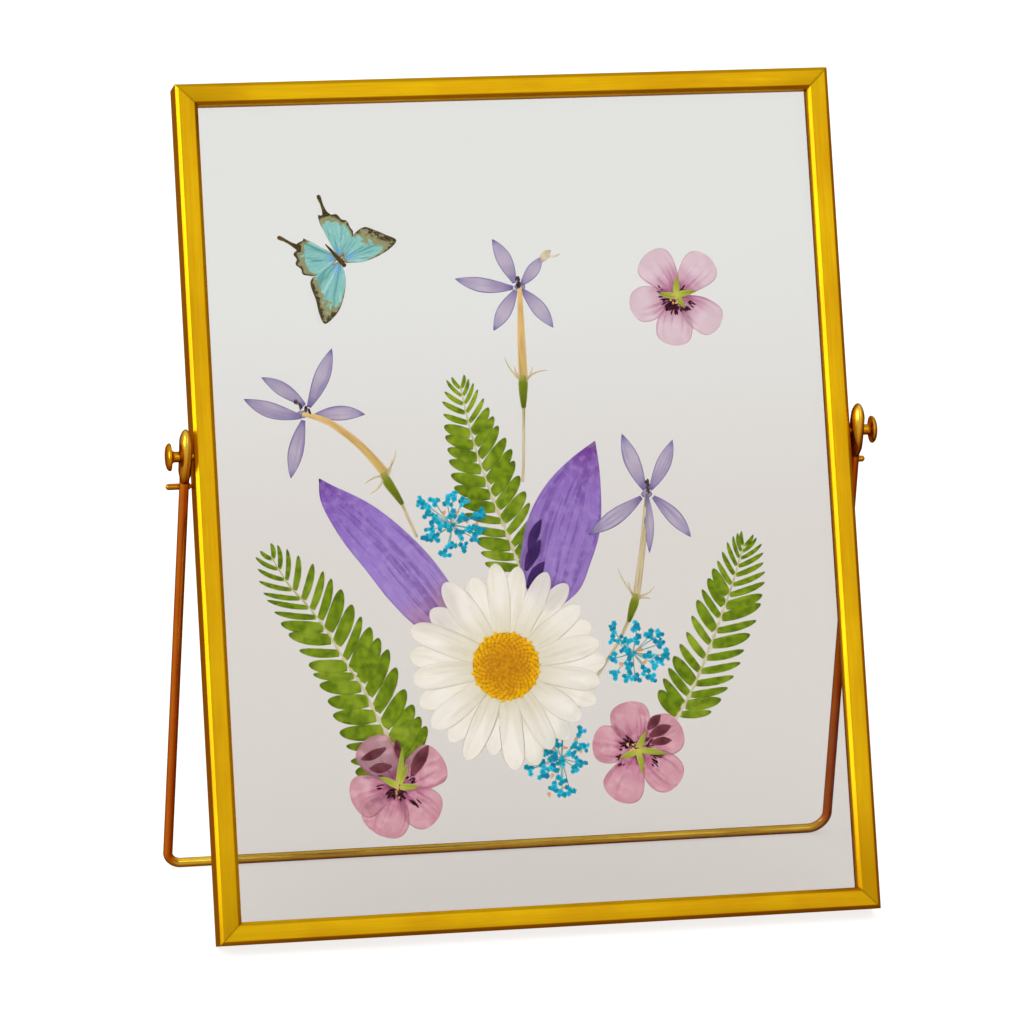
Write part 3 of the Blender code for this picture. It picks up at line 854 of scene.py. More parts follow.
@dataclass
class MetalFrame:
    """Four mitred bars with a rebate for the panes."""

    space: FrameSpace
    face: float = 5.2
    bevel: float = 0.85
    front_section: float = 4.2
    wall: float = 1.8
    lip_face: float = 3.2
    lip: float = 0.8
    rear_bevel: float = 0.25
    mitre_gap: float = 0.04
    mitre_chamfer: float = 0.5
    chamfer_drop: float = 0.11
    softening: float = 0.16
    stations: int = 9

    def profile(self, depth: float) -> list[Station]:
        """Section as (distance in, depth, painted-shade share), with its front corners softened by arcs; the share
        is one on the rebate walls.
        """
        corners = (
            (0.0, self.bevel, 0.0), (self.bevel, 0.0, 0.0), (self.face - self.bevel, 0.0, 0.0),
            (self.face, self.bevel, 0.0), (self.face, self.front_section, 1.0),
            (self.wall, self.front_section, 1.0), (self.wall, depth - self.lip, 1.0),
            (self.lip_face, depth - self.lip, 1.0), (self.lip_face, depth, 0.0),
            (self.rear_bevel, depth, 0.0), (0.0, depth - self.rear_bevel, 0.0),
        )
        softened = []
        for index, (inward, deep, recess_shade) in enumerate(corners):
            here = Vector((inward, deep))
            before = Vector(corners[index - 1][:2])
            after = Vector(corners[(index + 1) % len(corners)][:2])
            start = here + (before - here).normalized() * self.softening
            end = here + (after - here).normalized() * self.softening
            for step in range(5):
                share = step / 4.0
                point = start.lerp(here, share).lerp(here.lerp(end, share), share)
                softened.append((point.x, point.y, recess_shade))
        return softened

    def bar(self, name: str, length: float, matrix: Matrix, tone: float, depth: float,
            materials: Sequence[Material]) -> bpy.types.Object:
        """Build one bar lying along x, with its outer edge at y = 0 and its front at z = 0."""
        work = Patchwork()
        profile = self.profile(depth)
        walked = [0.0]
        for before, after in zip(profile, profile[1:]):
            walked.append(walked[-1] + math.hypot(after[0] - before[0], after[1] - before[1]))
        places = [(-1.0, 0.0, 1.0), (-1.0, self.mitre_chamfer, 0.0)]
        places += [(2.0 * step / self.stations - 1.0, self.mitre_chamfer,
                    0.0) for step in range(1, self.stations)]
        places += [(1.0, self.mitre_chamfer, 0.0), (1.0, 0.0, 1.0)]
        rows = []
        for side, back_off, drop in places:
            row = []
            for (inward, deep, recess_shade), around in zip(profile, walked):
                reach = side * (length / 2.0 - inward - self.mitre_gap - back_off)
                sunk = deep + drop * self.chamfer_drop * (1.0 if deep < self.bevel + 0.3 else 0.0)
                # The painted-shade share goes to the mesh as its across value.
                row.append(Mark(Vector((reach, inward, sunk)), (side + 1.0) / 2.0, recess_shade, reach, around,
                                tone))
            rows.append(row)
        work.add_rows(rows, wrap=True, capped=True)
        return work.build(name, matrix, materials, crease=32.0)

    def build(self) -> None:
        """Build the four bars and dress them."""
        low, _ = self.space.span("frame_bar_left")
        _, high = self.space.span("frame_bar_right")
        half_width, height, depth = -low.x, high.y, high.z
        gold = DrawnGold().make()
        base = self.space.matrix()
        quarter = math.pi / 2.0
        layout = (
            ("frame_bar_bottom", 2.0 * half_width, (0.0, 0.0), 0.0),
            ("frame_bar_right", height, (half_width, height / 2.0), quarter),
            ("frame_bar_top", 2.0 * half_width, (0.0, height), 2.0 * quarter),
            ("frame_bar_left", height, (-half_width, height / 2.0), -quarter),
        )
        for index, (node, length, place, turn) in enumerate(layout):
            matrix = base @ Matrix.Translation((*place, 0.0)) @ Matrix.Rotation(turn, 4, "Z")
            bar = self.bar(node + "_metal", length, matrix, 0.13 + 0.21 * index, depth, [gold])
            finish_piece(bar, "frame", "gold_metal", [node])


@dataclass
class GlassPanes:
    """Front and back panes with ground edges."""

    space: FrameSpace
    arris: float = 0.15
    inset: float = 0.01

    def build(self) -> None:
        """Build both panes and dress them."""
        finishes = {
            "glass_front": FloatGlass(),
            # The back pane's darker, warmer foot is painted shade of the floor seen through it; its grey is the
            # glass's own.
            "glass_back": FloatGlass(name="coated_grey_glass", foot="#d0cbc9", head="#d6d7d6"),
        }
        for node, finish in finishes.items():
            low, high = self.space.span(node)
            height = high.y
            inset = Vector((self.inset, self.inset, self.inset))
            low, high = low + inset, high - inset
            ring = []
            a = self.arris
            for deep, cut in ((low.z, a), (low.z + a, 0.0), (high.z - a, 0.0), (high.z, a)):
                corners = ((low.x + cut, low.y + cut), (high.x - cut, low.y + cut),
                           (high.x - cut, high.y - cut), (low.x + cut, high.y - cut))
                ring.append([Mark(Vector((*corner, deep)), corner[1] / height) for corner in corners])
            work = Patchwork()
            work.add_rows(ring, wrap=True, capped=True)
            pane = work.build(node + "_pane", self.space.matrix(), [finish.make()], crease=20.0)
            pane.visible_shadow = False
            finish_piece(pane, "frame", "clear_glass", [node])


@dataclass
class TurnedPins:
    """Mushroom-head hinge pins and round stop pegs, turned on a lathe."""

    space: FrameSpace
    sides: int = 40
    neck: float = 1.25
    head_radius: float = 3.25
    head_start: float = 5.2
    head_end: float = 6.6

    def pin_profile(self) -> list[Point]:
        """Tenon, neck, flare and domed head as (distance out, radius)."""
        tenon = [(-2.3, 0.3), (-2.3, 0.8), (0.32, 0.8), (0.32, self.neck - 0.12), (0.42, self.neck)]
        flare = [(self.head_start - 0.9 + 0.9 * step / 5.0, self.neck + 0.75 * (step / 5.0) ** 2.4)
                 for step in range(6)]
        rim = self.head_radius
        under = [(self.head_start + 0.02, rim - 0.45), (self.head_start + 0.1, rim - 0.14),
                 (self.head_start + 0.3, rim - 0.01)]
        rise = self.head_end - self.head_start - 0.32
        dome = []
        for step in range(1, 13):
            angle = 0.5 * math.pi * step / 12.0
            dome.append((self.head_start + 0.32 + rise * math.sin(angle),
                         max(0.05, rim * math.cos(angle) ** 0.62)))
        return tenon + flare + under + dome

    def peg_profile(self, reach: float) -> list[Point]:
        """Shaft with a round end as (distance out, radius)."""
        shaft = [(-1.0, 0.2), (-1.0, 0.45), (0.32, 0.45), (0.32, 0.65), (0.42, 0.74), (reach - 0.75, 0.74)]
        end = []
        for step in range(1, 9):
            angle = 0.5 * math.pi * step / 8.0
            end.append((reach - 0.75 + 0.74 * math.sin(angle), max(0.04, 0.74 * math.cos(angle))))
        return shaft + end

    def turned(self, name: str, profile: Sequence[Point], side: float, edge: float, height: float,
               depth: float,
               material: Material) -> bpy.types.Object:
        """Turn a profile round an axis along u, outward from the frame's side."""
        rows = []
        travelled = 0.0
        for index, (out, radius) in enumerate(profile):
            if index:
                travelled += math.hypot(out - profile[index - 1][0], radius - profile[index - 1][1])
            ring = []
            for step in range(self.sides):
                angle = 2.0 * math.pi * step / self.sides
                place = Vector((edge + side * out, height + radius * math.cos(angle),
                                depth + radius * math.sin(angle)))
                ring.append(Mark(place, 0.0, 0.0, radius * angle, travelled, 0.5))
            rows.append(ring)
        work = Patchwork()
        work.add_rows(rows, wrap=True, capped=True)
        return work.build(name, self.space.matrix(), [material], crease=38.0)

    def build(self) -> None:
        """Build both pins and both pegs and dress them."""
        metal = DrawnGold(name="turned_brass_pin", light="#e6b01c", deep="#d08c12", roughness=0.2,
                          grain_spacing=0.25).make()
        for label, side in (("left", -1.0), ("right", 1.0)):
            _, edge = self.space.span("frame_bar_right")
            pin_low, pin_high = self.space.span("hinge_pin_" + label)
            middle = (pin_low + pin_high) / 2.0
            pin = self.turned(f"hinge_pin_{label}_turned", self.pin_profile(), side, side * edge.x, middle.y,
                              middle.z, metal)
            finish_piece(pin, "frame", "gold_metal", ["hinge_pin_" + label])
            peg_low, peg_high = self.space.span("stop_peg_" + label)
            middle = (peg_low + peg_high) / 2.0
            reach = max(abs(peg_low.x), abs(peg_high.x)) - edge.x
            peg = self.turned(f"stop_peg_{label}_turned", self.peg_profile(reach), side, side * edge.x,
                              middle.y,
                              middle.z, metal)
            finish_piece(peg, "frame", "gold_metal", ["stop_peg_" + label])


@dataclass
class WireStand:
    """U of round wire with a flattened, drilled eye on each end."""

    radius: float = 1.14
    top: float = 79.9
    foot: float = 81.8
    bends: tuple[float, float] = (3.2, 4.8)
    eye_radius: float = 6.88
    eye_width: float = 7.5
    eye_thickness: float = 2.95
    hole_radius: float = 1.56
    sides: int = 28

    def stations(self, bend: float, length: float) -> list[tuple[Vector, float, float, float, float]]:
        """Centre, turn, half thickness, half width and share of painted copper shade down one leg and round its
        bend.
        """
        made = [(Vector((self.top, 0.0, self.eye_radius)), 0.0, 0.16, 0.2, 0.35)]
        heights = [self.eye_radius * math.cos(math.pi * step / 26.0) for step in range(1, 26)]
        heights += [-1.12 * self.eye_radius, -10.0, -25.0, -50.0, -80.0, bend - length]
        for height in heights:
            share = min(max(-height / length, 0.0), 1.0)
            across = self.top + (self.foot - self.top) * share
            rise = math.sqrt(max(0.0, 1.0 - (height / self.eye_radius) ** 2))
            wide, thin = self.eye_width / 2.0 * rise, self.eye_thickness / 2.0 * min(1.0, 1.25 * rise)
            if height < 0.0:
                ease = 1.4 * max(0.0, 1.0 + height / self.eye_radius)
                wide = max(wide, self.radius + 0.12 * ease)
                thin = max(thin, self.radius)
            # Share of painted copper shade: a little on the eye, all of it down the leg, falling to none on the
            # foot bar.
            copper_shade_share = min(max((-height - 2.0) / 8.0, 0.0), 1.0)
            made.append((Vector((across, 0.0, height)), 0.0, thin, wide, max(copper_shade_share, 0.25)))
        centre = Vector((self.foot - bend, 0.0, bend - length))
        for step in range(1, 13):
            angle = math.pi / 2.0 * step / 12.0
            offset = Vector((bend * math.cos(angle), 0.0, -bend * math.sin(angle)))
            made.append((centre + offset, angle, self.radius, self.radius, 1.0 - step / 12.0))
        for reach in (60.0, 40.0, 20.0):
            made.append((Vector((reach, 0.0, -length)), math.pi / 2.0, self.radius, self.radius, 0.0))
        return made

    def rings(self, mirror: float, bend: float, length: float) -> list[list[Mark]]:
        """Rings of marks down one half of the stand."""
        rows = []
        travelled = 0.0
        before = None
        for centre, turn, thin, wide, copper_shade_share in self.stations(bend, length):
            if before is not None:
                travelled += (centre - before).length
            before = centre
            inward = Vector((-math.cos(turn), 0.0, math.sin(turn)))
            ring = []
            for side in range(self.sides):
                angle = 2.0 * math.pi * side / self.sides
                place = centre + inward * (thin * math.cos(angle)) + Vector((0.0, wide * math.sin(angle),
                                                                             0.0))
                place.x *= mirror
                ring.append(Mark(place, copper_shade_share, 0.0, travelled, self.radius * angle, 0.3))
            rows.append(ring)
        return rows

    def drill(self, piece: bpy.types.Object, matrix: Matrix) -> None:
        """Cut the pin's hole through both eyes."""
        rows = []
        for reach in (-1.1 * self.top, 1.1 * self.top):
            rows.append([
                Mark(Vector((reach, self.hole_radius * math.cos(2.0 * math.pi * side / 32.0),
                             self.hole_radius * math.sin(2.0 * math.pi * side / 32.0))))
                for side in range(32)
            ])
        work = Patchwork()
        work.add_rows(rows, wrap=True, capped=True)
        tool = work.build("eye_drill", matrix, piece.data.materials[:])
        cut = piece.modifiers.new("Eye", "BOOLEAN")
        cut.operation = "DIFFERENCE"
        cut.solver = "EXACT"
        cut.object = tool
        evaluated = piece.evaluated_get(bpy.context.evaluated_depsgraph_get())
        drilled = bpy.data.meshes.new_from_object(evaluated)
        piece.modifiers.clear()
        piece.data = drilled
        drilled.set_sharp_from_angle(angle=math.radians(40.0))
        bpy.data.objects.remove(tool, do_unlink=True)

    def build(self) -> None:
        """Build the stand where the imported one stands, and dress it."""
        _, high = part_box("wire_stand")
        pivot = Vector(frame["joints"][0]["pos_m"])
        packed_radius = 1.15 * MM
        foot = Vector((0.0, high.y - packed_radius, packed_radius))
        run = foot - pivot
        run.x = 0.0
        length = run.length / MM
        lean = math.atan2(run.y, -run.z)
        matrix = Matrix.Translation((0.0, pivot.y, pivot.z)) @ Matrix.Rotation(lean, 4, "X")
        matrix = matrix @ Matrix.Scale(MM, 4)
        left, right = self.bends
        rows = self.rings(1.0, right, length) + list(reversed(self.rings(-1.0, left, length)))
        work = Patchwork()
        work.add_rows(rows, wrap=True, capped=True)
        stand = work.build("wire_stand_bent", matrix, [BentWire().make()])
        self.drill(stand, matrix)
        finish_piece(stand, "stand", "gold_wire", ["wire_stand"])


# Specimens


@dataclass(frozen=True)
class SpecimenFinishes:
    """Materials that more than one specimen shares."""

    lilac: Material
    tube: Material
    calyx: Material
    stem: Material
    anther: Material
    pink: Material
    blush: Material
    sepal: Material
    cream: Material
    stain: Material
    pollen: Material
    # Painted shadow of leaflets behind a petal.
    leaf_print: Material

    @classmethod
    def make(cls) -> "SpecimenFinishes":
        """Build the shared materials."""
        return cls(
            lilac=DriedPetal(
                name="pressed_lilac_petal",
                ramp=((0.0, "#8878b0"), (0.2, "#beb4cc"), (0.55, "#d4ccd8"), (0.85, "#c2b9d2"),
                      (1.0, "#7464a8")),
                edge="#8272b6", vein="#a093c4", edge_width=0.20, edge_strength=0.9, vein_spacing=0.6,
                vein_strength=0.6, vein_at_tip=0.8, clearness=0.42, blotch="#d8cfdc",
            ).make(),
            tube=DriedStem(
                name="pressed_flower_tube",
                ramp=((0.0, "#f6dc9a"), (0.35, "#efd08a"), (0.85, "#dcc074"), (1.0, "#9aa040")),
                edge="#f2dfc2",
                lit_through=0.4,
            ).make(),
            calyx=DriedStem(
                name="pressed_green_calyx",
                ramp=((0.0, "#b5b056"), (0.3, "#7c8a14"), (1.0, "#5c6c0c")), edge="#98a03a",
            ).make(),
            stem=DriedStem(
                name="pressed_straw_stem",
                ramp=((0.0, "#bdb67e"), (0.25, "#e0d2aa"), (1.0, "#dfd0b0")), edge="#b5a27a",
            ).make(),
            anther=TinyFloret(
                name="dried_dark_anther", ramp=((0.0, "#3a2a35"), (0.5, "#5a4a50"), (1.0, "#6e6258")),
                heart="#2a1c26",
            ).make(),
            pink=DriedPetal(
                name="pressed_rose_petal",
                ramp=((0.0, "#6a1048"), (0.14, "#a8467a"), (0.30, "#d698b4"), (0.6, "#e5c1cb"),
                      (1.0, "#dfb4be")),
                edge="#d0988e", vein="#b8618c", edge_width=0.05, vein_spacing=0.9, vein_strength=0.65,
                vein_at_tip=0.35, clearness=0.55, blotch="#f4dde4", blotch_strength=0.5,
            ).make(),
            blush=DriedPetal(
                name="pressed_blush_petal",
                ramp=((0.0, "#84245c"), (0.16, "#bc6a98"), (0.34, "#dcbccc"), (0.6, "#e8d9e0"),
                      (1.0, "#e3d2d9")),
                edge="#deb4c2", vein="#c074a0", edge_width=0.10, edge_strength=0.5, vein_spacing=0.9,
                vein_strength=0.6, vein_at_tip=0.12, clearness=0.5, blotch="#f4e6ea", blotch_strength=0.35,
            ).make(),
            sepal=DriedStem(
                name="pressed_yellow_green_sepal",
                ramp=((0.0, "#e2d46a"), (0.4, "#b3bf42"), (1.0, "#94a52c")), edge="#c6cc66",
                fibre_spacing=0.5,
            ).make(),
            cream=DriedPetal(
                name="dried_cream_fold", ramp=((0.0, "#b9a9c4"), (0.35, "#ece2cc"), (1.0, "#cfc09a")),
                edge="#d2c4a4", vein="#d9ccb0", clearness=0.3,
            ).make(),
            stain=TinyFloret(
                name="dried_maroon_anther", ramp=((0.0, "#240a12"), (0.5, "#4a1026"), (1.0, "#6b1f3c")),
                heart="#2a0c16",
            ).make(),
            # Maroon painted shadow of the fern leaflets behind the pink petals.
            leaf_print=leaf_shadow_finish("maroon_leaf_print", "#a8606c", "#6c2a3a").make(),
            pollen=TinyFloret(
                name="dried_yellow_pollen", ramp=((0.0, "#f6dc90"), (0.6, "#e8b45a"), (1.0, "#c9873a")),
                heart="#f8e4a8",
            ).make(),
        )


@dataclass(frozen=True)
class Petal:
    """A narrow petal from root to tip, its bow and its share of the usual width."""

    root: Point
    tip: Point
    bend: float = 0.0
    width: float = 1.0


@dataclass
class StarFlower:
    """Lilac flower of narrow petals on a long tube, a green calyx and a thin stem."""

    name: str
    petals: tuple[Petal, ...]
    tube: tuple[Station, ...]
    calyx: tuple[Station, ...]
    stem: tuple[Station, ...]
    sepals: tuple[tuple[Point, Point, float], ...]
    stamens: tuple[Station, ...]
    dried: tuple[tuple[Point, Point, float, float], ...] = ()
    over_tube: int = 0
    pale_tube: bool = False
    half_width: float = 1.9
    seed: int = 1

    def build(self, space: FrameSpace, finishes: SpecimenFinishes) -> None:
        """Build the flower in its layer and dress it."""
        draw = random.Random(self.seed)
        depth = space.layer(self.name)
        work = Patchwork()
        for index, petal in enumerate(self.petals):
            lift = 0.09 if index >= len(self.petals) - self.over_tube else 0.02 - 0.012 * index
            half = self.half_width * petal.width
            blade(work, bow(petal.root, petal.tip, petal.bend),
                  lambda share, wide=half: wide * Outline.LANCE.width(share), depth - lift, 0, draw.random(),
                  rows=26, columns=13, crown=0.03, ripple=0.012)
        pad(work, self.tube[0][:2], (1.3, 0.9), depth + 0.04, 0, 0.4, rise=0.02, sides=18)
        for start, tip, bend, width in self.dried:
            blade(work, bow(start, tip, bend), lambda share, wide=width: wide * Outline.LANCE.width(share),
                  depth - 0.07, 5, draw.random(), rows=18, columns=7, crown=0.02, ripple=0.02)
        round_stem(work, self.tube, depth - 0.005, 3 if self.pale_tube else 1, draw.random(), thickest=0.10)
        round_stem(work, self.calyx, depth - 0.02, 2, draw.random(), thickest=0.14)
        round_stem(work, self.stem, depth, 3, draw.random(), flatness=0.5, thickest=0.12)
        for start, tip, bend in self.sepals:
            blade(work, bow(start, tip, bend), lambda share: 0.24 * Outline.THREAD.width(share), depth - 0.10,
                  3,
                  draw.random(), rows=14, columns=5)
        for along, up, size in self.stamens:
            for _ in range(5):
                spot = (along + draw.uniform(-0.35, 0.35) * size, up + draw.uniform(-0.7, 0.7) * size)
                pad(work, spot, (size * draw.uniform(0.5, 0.8), size * draw.uniform(0.3, 0.5)), depth - 0.09,
                    4,
                    draw.random(), draw.uniform(60.0, 120.0), rise=0.04, sides=10, rings=2)
        piece = work.build(self.name + "_pressed", space.matrix(), [
            finishes.lilac, finishes.tube, finishes.calyx, finishes.stem, finishes.anther, finishes.cream,
        ], thickness=0.04, crease=60.0)
        finish_piece(piece, "frame", "lilac_petal", [self.name])


def add_leaf_shadows(work: Patchwork, places: Sequence[tuple[Point, Point, float]], depth: float,
                 slot: int) -> None:
    """Add the painted shadows of leaflets behind a petal: dark sheets where they block the light from behind."""
    for index, (start, tip, half) in enumerate(places):
        blade(work, bow(start, tip, 0.06), lambda share, wide=half: wide * Outline.LANCE.width(share), depth,
              slot,
              0.17 * index, rows=14, columns=7, crown=0.01)


def leaf_shadow_finish(name: str, light: str, dark: str) -> DriedPetal:
    """Finish of a painted leaflet shadow on a petal, from its light root to its dark tip."""
    return DriedPetal(name=name, ramp=((0.0, light), (0.6, dark), (1.0, light)), edge=light, vein=light,
                      edge_width=0.5, vein_strength=0.5, blotch=light, blotch_strength=0.9, clearness=0.5)


@dataclass
class RoundFlower:
    """Flower of five round petals, green sepals over its centre and dark strokes where they join."""

    name: str
    centre: Point
    petals: tuple[tuple[float, float, float], ...]
    sepals: tuple[tuple[float, float], ...]
    strokes: tuple[tuple[float, float, float, int], ...]
    pollen: Point
    # Places of dark sheets painted on the petals where leaflets behind them shade them.
    leaf_shadows: tuple[tuple[Point, Point, float], ...] = ()
    seed: int = 3

    def build(self, space: FrameSpace, finishes: SpecimenFinishes, petal_finish: Material) -> None:
        """Build the flower in its layer and dress it."""
        draw = random.Random(self.seed)
        depth = space.layer(self.name)
        work = Patchwork()
        for index, (heading, length, width) in enumerate(self.petals):
            curve = bow(self.centre, polar(self.centre, heading, length), draw.uniform(-0.05, 0.05))
            wobble = draw.uniform(0.0, 6.0)

            def half(share: float, wide: float = width, shift: float = wobble) -> float:
                """Half width with a slightly uneven margin."""
                uneven = 1.0 + 0.03 * math.sin(9.0 * share + shift)
                return wide / 2.0 * Outline.SPOON.width(share) * uneven

            blade(work, curve, half, depth + 0.018 * index - 0.02, 0, draw.random(), rows=28, columns=17,
                  crown=0.02, ripple=0.012)
        for heading, distance, size, count in self.strokes:
            for _ in range(count):
                way = heading + draw.uniform(-18.0, 18.0) * size
                near = max(0.3, distance + draw.uniform(-0.7, 0.5) * size)
                far = near + size * draw.uniform(0.6, 1.2)
                wide = size * draw.uniform(0.10, 0.24)
                blade(work, bow(polar(self.centre, way, near),
                                polar(self.centre, way + draw.uniform(-6.0, 6.0), far),
                                draw.uniform(-0.1, 0.1)),
                      lambda share, most=wide: most * Outline.LANCE.width(share), depth - 0.06, 2,
                      draw.random(),
                      rows=8, columns=5)
        # Painted shadows of the leaflets behind, in slot 4.
        add_leaf_shadows(work, self.leaf_shadows, depth - 0.065, 4)
        for heading, length in self.sepals:
            curve = bow(polar(self.centre, heading + 180.0, 0.4), polar(self.centre, heading, length),
                        draw.uniform(-0.12, 0.12))
            blade(work, curve, lambda share: 0.78 * Outline.LANCE.width(0.25 + 0.75 * share), depth - 0.085,
                  1,
                  draw.random(), rows=16, columns=7, crown=0.03)
        for index in range(22):
            spot = polar(self.pollen, draw.uniform(0.0, 360.0), draw.uniform(0.1, 1.5))
            pad(work, spot, (draw.uniform(0.15, 0.32), draw.uniform(0.12, 0.24)), depth - 0.1,
                2 if index % 3 == 0 else 3, draw.random(), draw.uniform(0.0, 180.0), rise=0.03, sides=8,
                rings=2)
        piece = work.build(self.name + "_pressed", space.matrix(),
                           [petal_finish, finishes.sepal, finishes.stain, finishes.pollen,
                            finishes.leaf_print],
                           thickness=0.04, crease=60.0)
        finish_piece(piece, "frame", "pink_petal", [self.name])


@dataclass
class Daisy:
    """Large daisy: ivory rays in two ranks round a disc of packed florets."""

    centre: Point = (-7.0, 61.2)
    rays: tuple[tuple[float, float, float], ...] = (
        (92.8, 24.2, 5.2), (79.5, 23.6, 4.8), (63.0, 24.2, 4.9), (49.8, 24.3, 5.0), (36.0, 22.6, 5.4),
        (23.6, 22.7, 5.6), (11.5, 23.0, 5.6), (0.5, 23.8, 5.8), (348.0, 22.6, 5.4), (336.0, 22.9, 5.4),
        (322.0, 21.4, 5.6), (308.0, 22.4, 5.4), (296.0, 22.0, 5.4), (284.5, 24.2, 5.6), (272.0, 24.2, 5.8),
        (258.0, 21.0, 5.0), (243.5, 23.8, 5.4), (230.0, 22.0, 5.6), (216.0, 22.6, 5.8), (201.0, 22.4, 6.0),
        (186.0, 22.2, 6.0), (171.0, 22.8, 6.0), (156.0, 24.0, 6.2), (141.0, 22.0, 6.0), (124.0, 24.2, 6.2),
        (108.0, 22.0, 6.0),
    )
    disc_radius: float = 8.15
    florets: int = 250

    def build(self, space: FrameSpace) -> None:
        """Build the daisy in its layer and dress it."""
        draw = random.Random(11)
        depth = space.layer("daisy")
        work = Patchwork()
        for index, (heading, length, width) in enumerate(self.rays):
            curve = bow(polar(self.centre, heading, 5.5), polar(self.centre, heading, length),
                        draw.uniform(-0.03, 0.03))
            notch = draw.uniform(0.0, 6.0)

            def half(share: float, wide: float = width, shift: float = notch) -> float:
                """Half width with an uneven margin."""
                uneven = 1.0 + 0.04 * math.sin(7.0 * share + shift)
                return wide / 2.0 * Outline.STRAP.width(share) * uneven

            blade(work, curve, half, depth + (0.045 if index % 2 else 0.02) + 0.004 * (index % 3),
                  2 if 240.0 < heading < 275.0 else 0,
                  draw.random(), rows=26, columns=15, crown=0.012, ripple=0.008, reach=2.6)
        pad(work, self.centre, (self.disc_radius - 0.3, self.disc_radius - 0.3), depth - 0.02, 1, 0.1,
            rise=0.03,
            sides=48, rings=6)
        golden = math.pi * (3.0 - math.sqrt(5.0))
        for index in range(self.florets):
            share = math.sqrt((index + 0.5) / self.florets)
            distance = self.disc_radius * share * 0.985 + draw.uniform(-0.1, 0.1)
            angle = index * golden + draw.uniform(-0.012, 0.012)
            spot = (self.centre[0] + distance * math.cos(angle), self.centre[1] + distance * math.sin(angle))
            size = 0.46 - 0.08 * (1.0 - share)
            shade = min(max(0.12 + 0.88 * share ** 1.5 + draw.uniform(-0.22, 0.18), 0.0), 1.0)
            pad(work, spot, (size * 1.15, size), depth - 0.055 + 0.02 * share, 1, shade, math.degrees(angle),
                rise=0.10, lobes=5, lobe_depth=0.16, sides=10, rings=3)
        ray = DriedPetal(
            name="pressed_ivory_ray",
            ramp=((0.0, "#efe9c8"), (0.2, "#f2eee2"), (0.6, "#f7f4f0"), (1.0, "#f3f0ea")),
            edge="#ebe6d6", vein="#e3dec8", edge_width=0.06, vein_spacing=0.9, vein_strength=0.5,
            blotch="#fcfaf8", lit_through=0.40, clearness=0.18, relief=0.03,
        )
        browned = replace(ray, name="browned_ivory_ray", edge="#a87c3e", edge_width=0.07)
        disc = TinyFloret(
            name="daisy_disc_floret",
            ramp=((0.0, "#b87200"), (0.3, "#dc9800"), (0.7, "#f2b200"), (1.0, "#ffcc00")), heart="#e0a000",
            lit_through=0.1,
        ).make()
        piece = work.build("daisy_pressed", space.matrix(), [ray.make(), disc, browned.make()],
                           thickness=0.05, crease=60.0)
        finish_piece(piece, "frame", "ivory_petal", ["daisy"])


@dataclass
class LoosePetal:
    """A single large petal, broad and pointed."""

    name: str
    stations: tuple[Station, ...]
    finish: DriedPetal
    tone: float
    # Places of dark sheets painted on the petal where leaflets behind it shade it.
    leaf_shadows: tuple[tuple[Point, Point, float], ...] = ()

    def build(self, space: FrameSpace) -> None:
        """Build the petal in its layer and dress it."""
        depth = space.layer(self.name)
        path = spline(self.stations, 12)
        count = len(path) - 1

        def sample(share: float) -> Vector:
            """Station at a share of the way from the base to the point."""
            place = (1.0 - share) * count
            index = min(int(place), count - 1)
            return path[index].lerp(path[index + 1], place - index)

        work = Patchwork()
        blade(work, lambda share: Vector(sample(share)[:2]), lambda share: sample(share).z, depth, 0,
              self.tone,
              rows=60, columns=25, crown=0.04, ripple=0.015)
        # Painted shadows of the leaflets behind, in a dark violet finish of their own.
        add_leaf_shadows(work, self.leaf_shadows, depth - 0.10, 1)
        shade = leaf_shadow_finish(self.name + "_painted_shadow", "#6a4296", "#4c2c78").make()
        piece = work.build(self.name + "_pressed", space.matrix(), [self.finish.make(), shade],
                           thickness=0.05)
        finish_piece(piece, "frame", "violet_petal", [self.name])


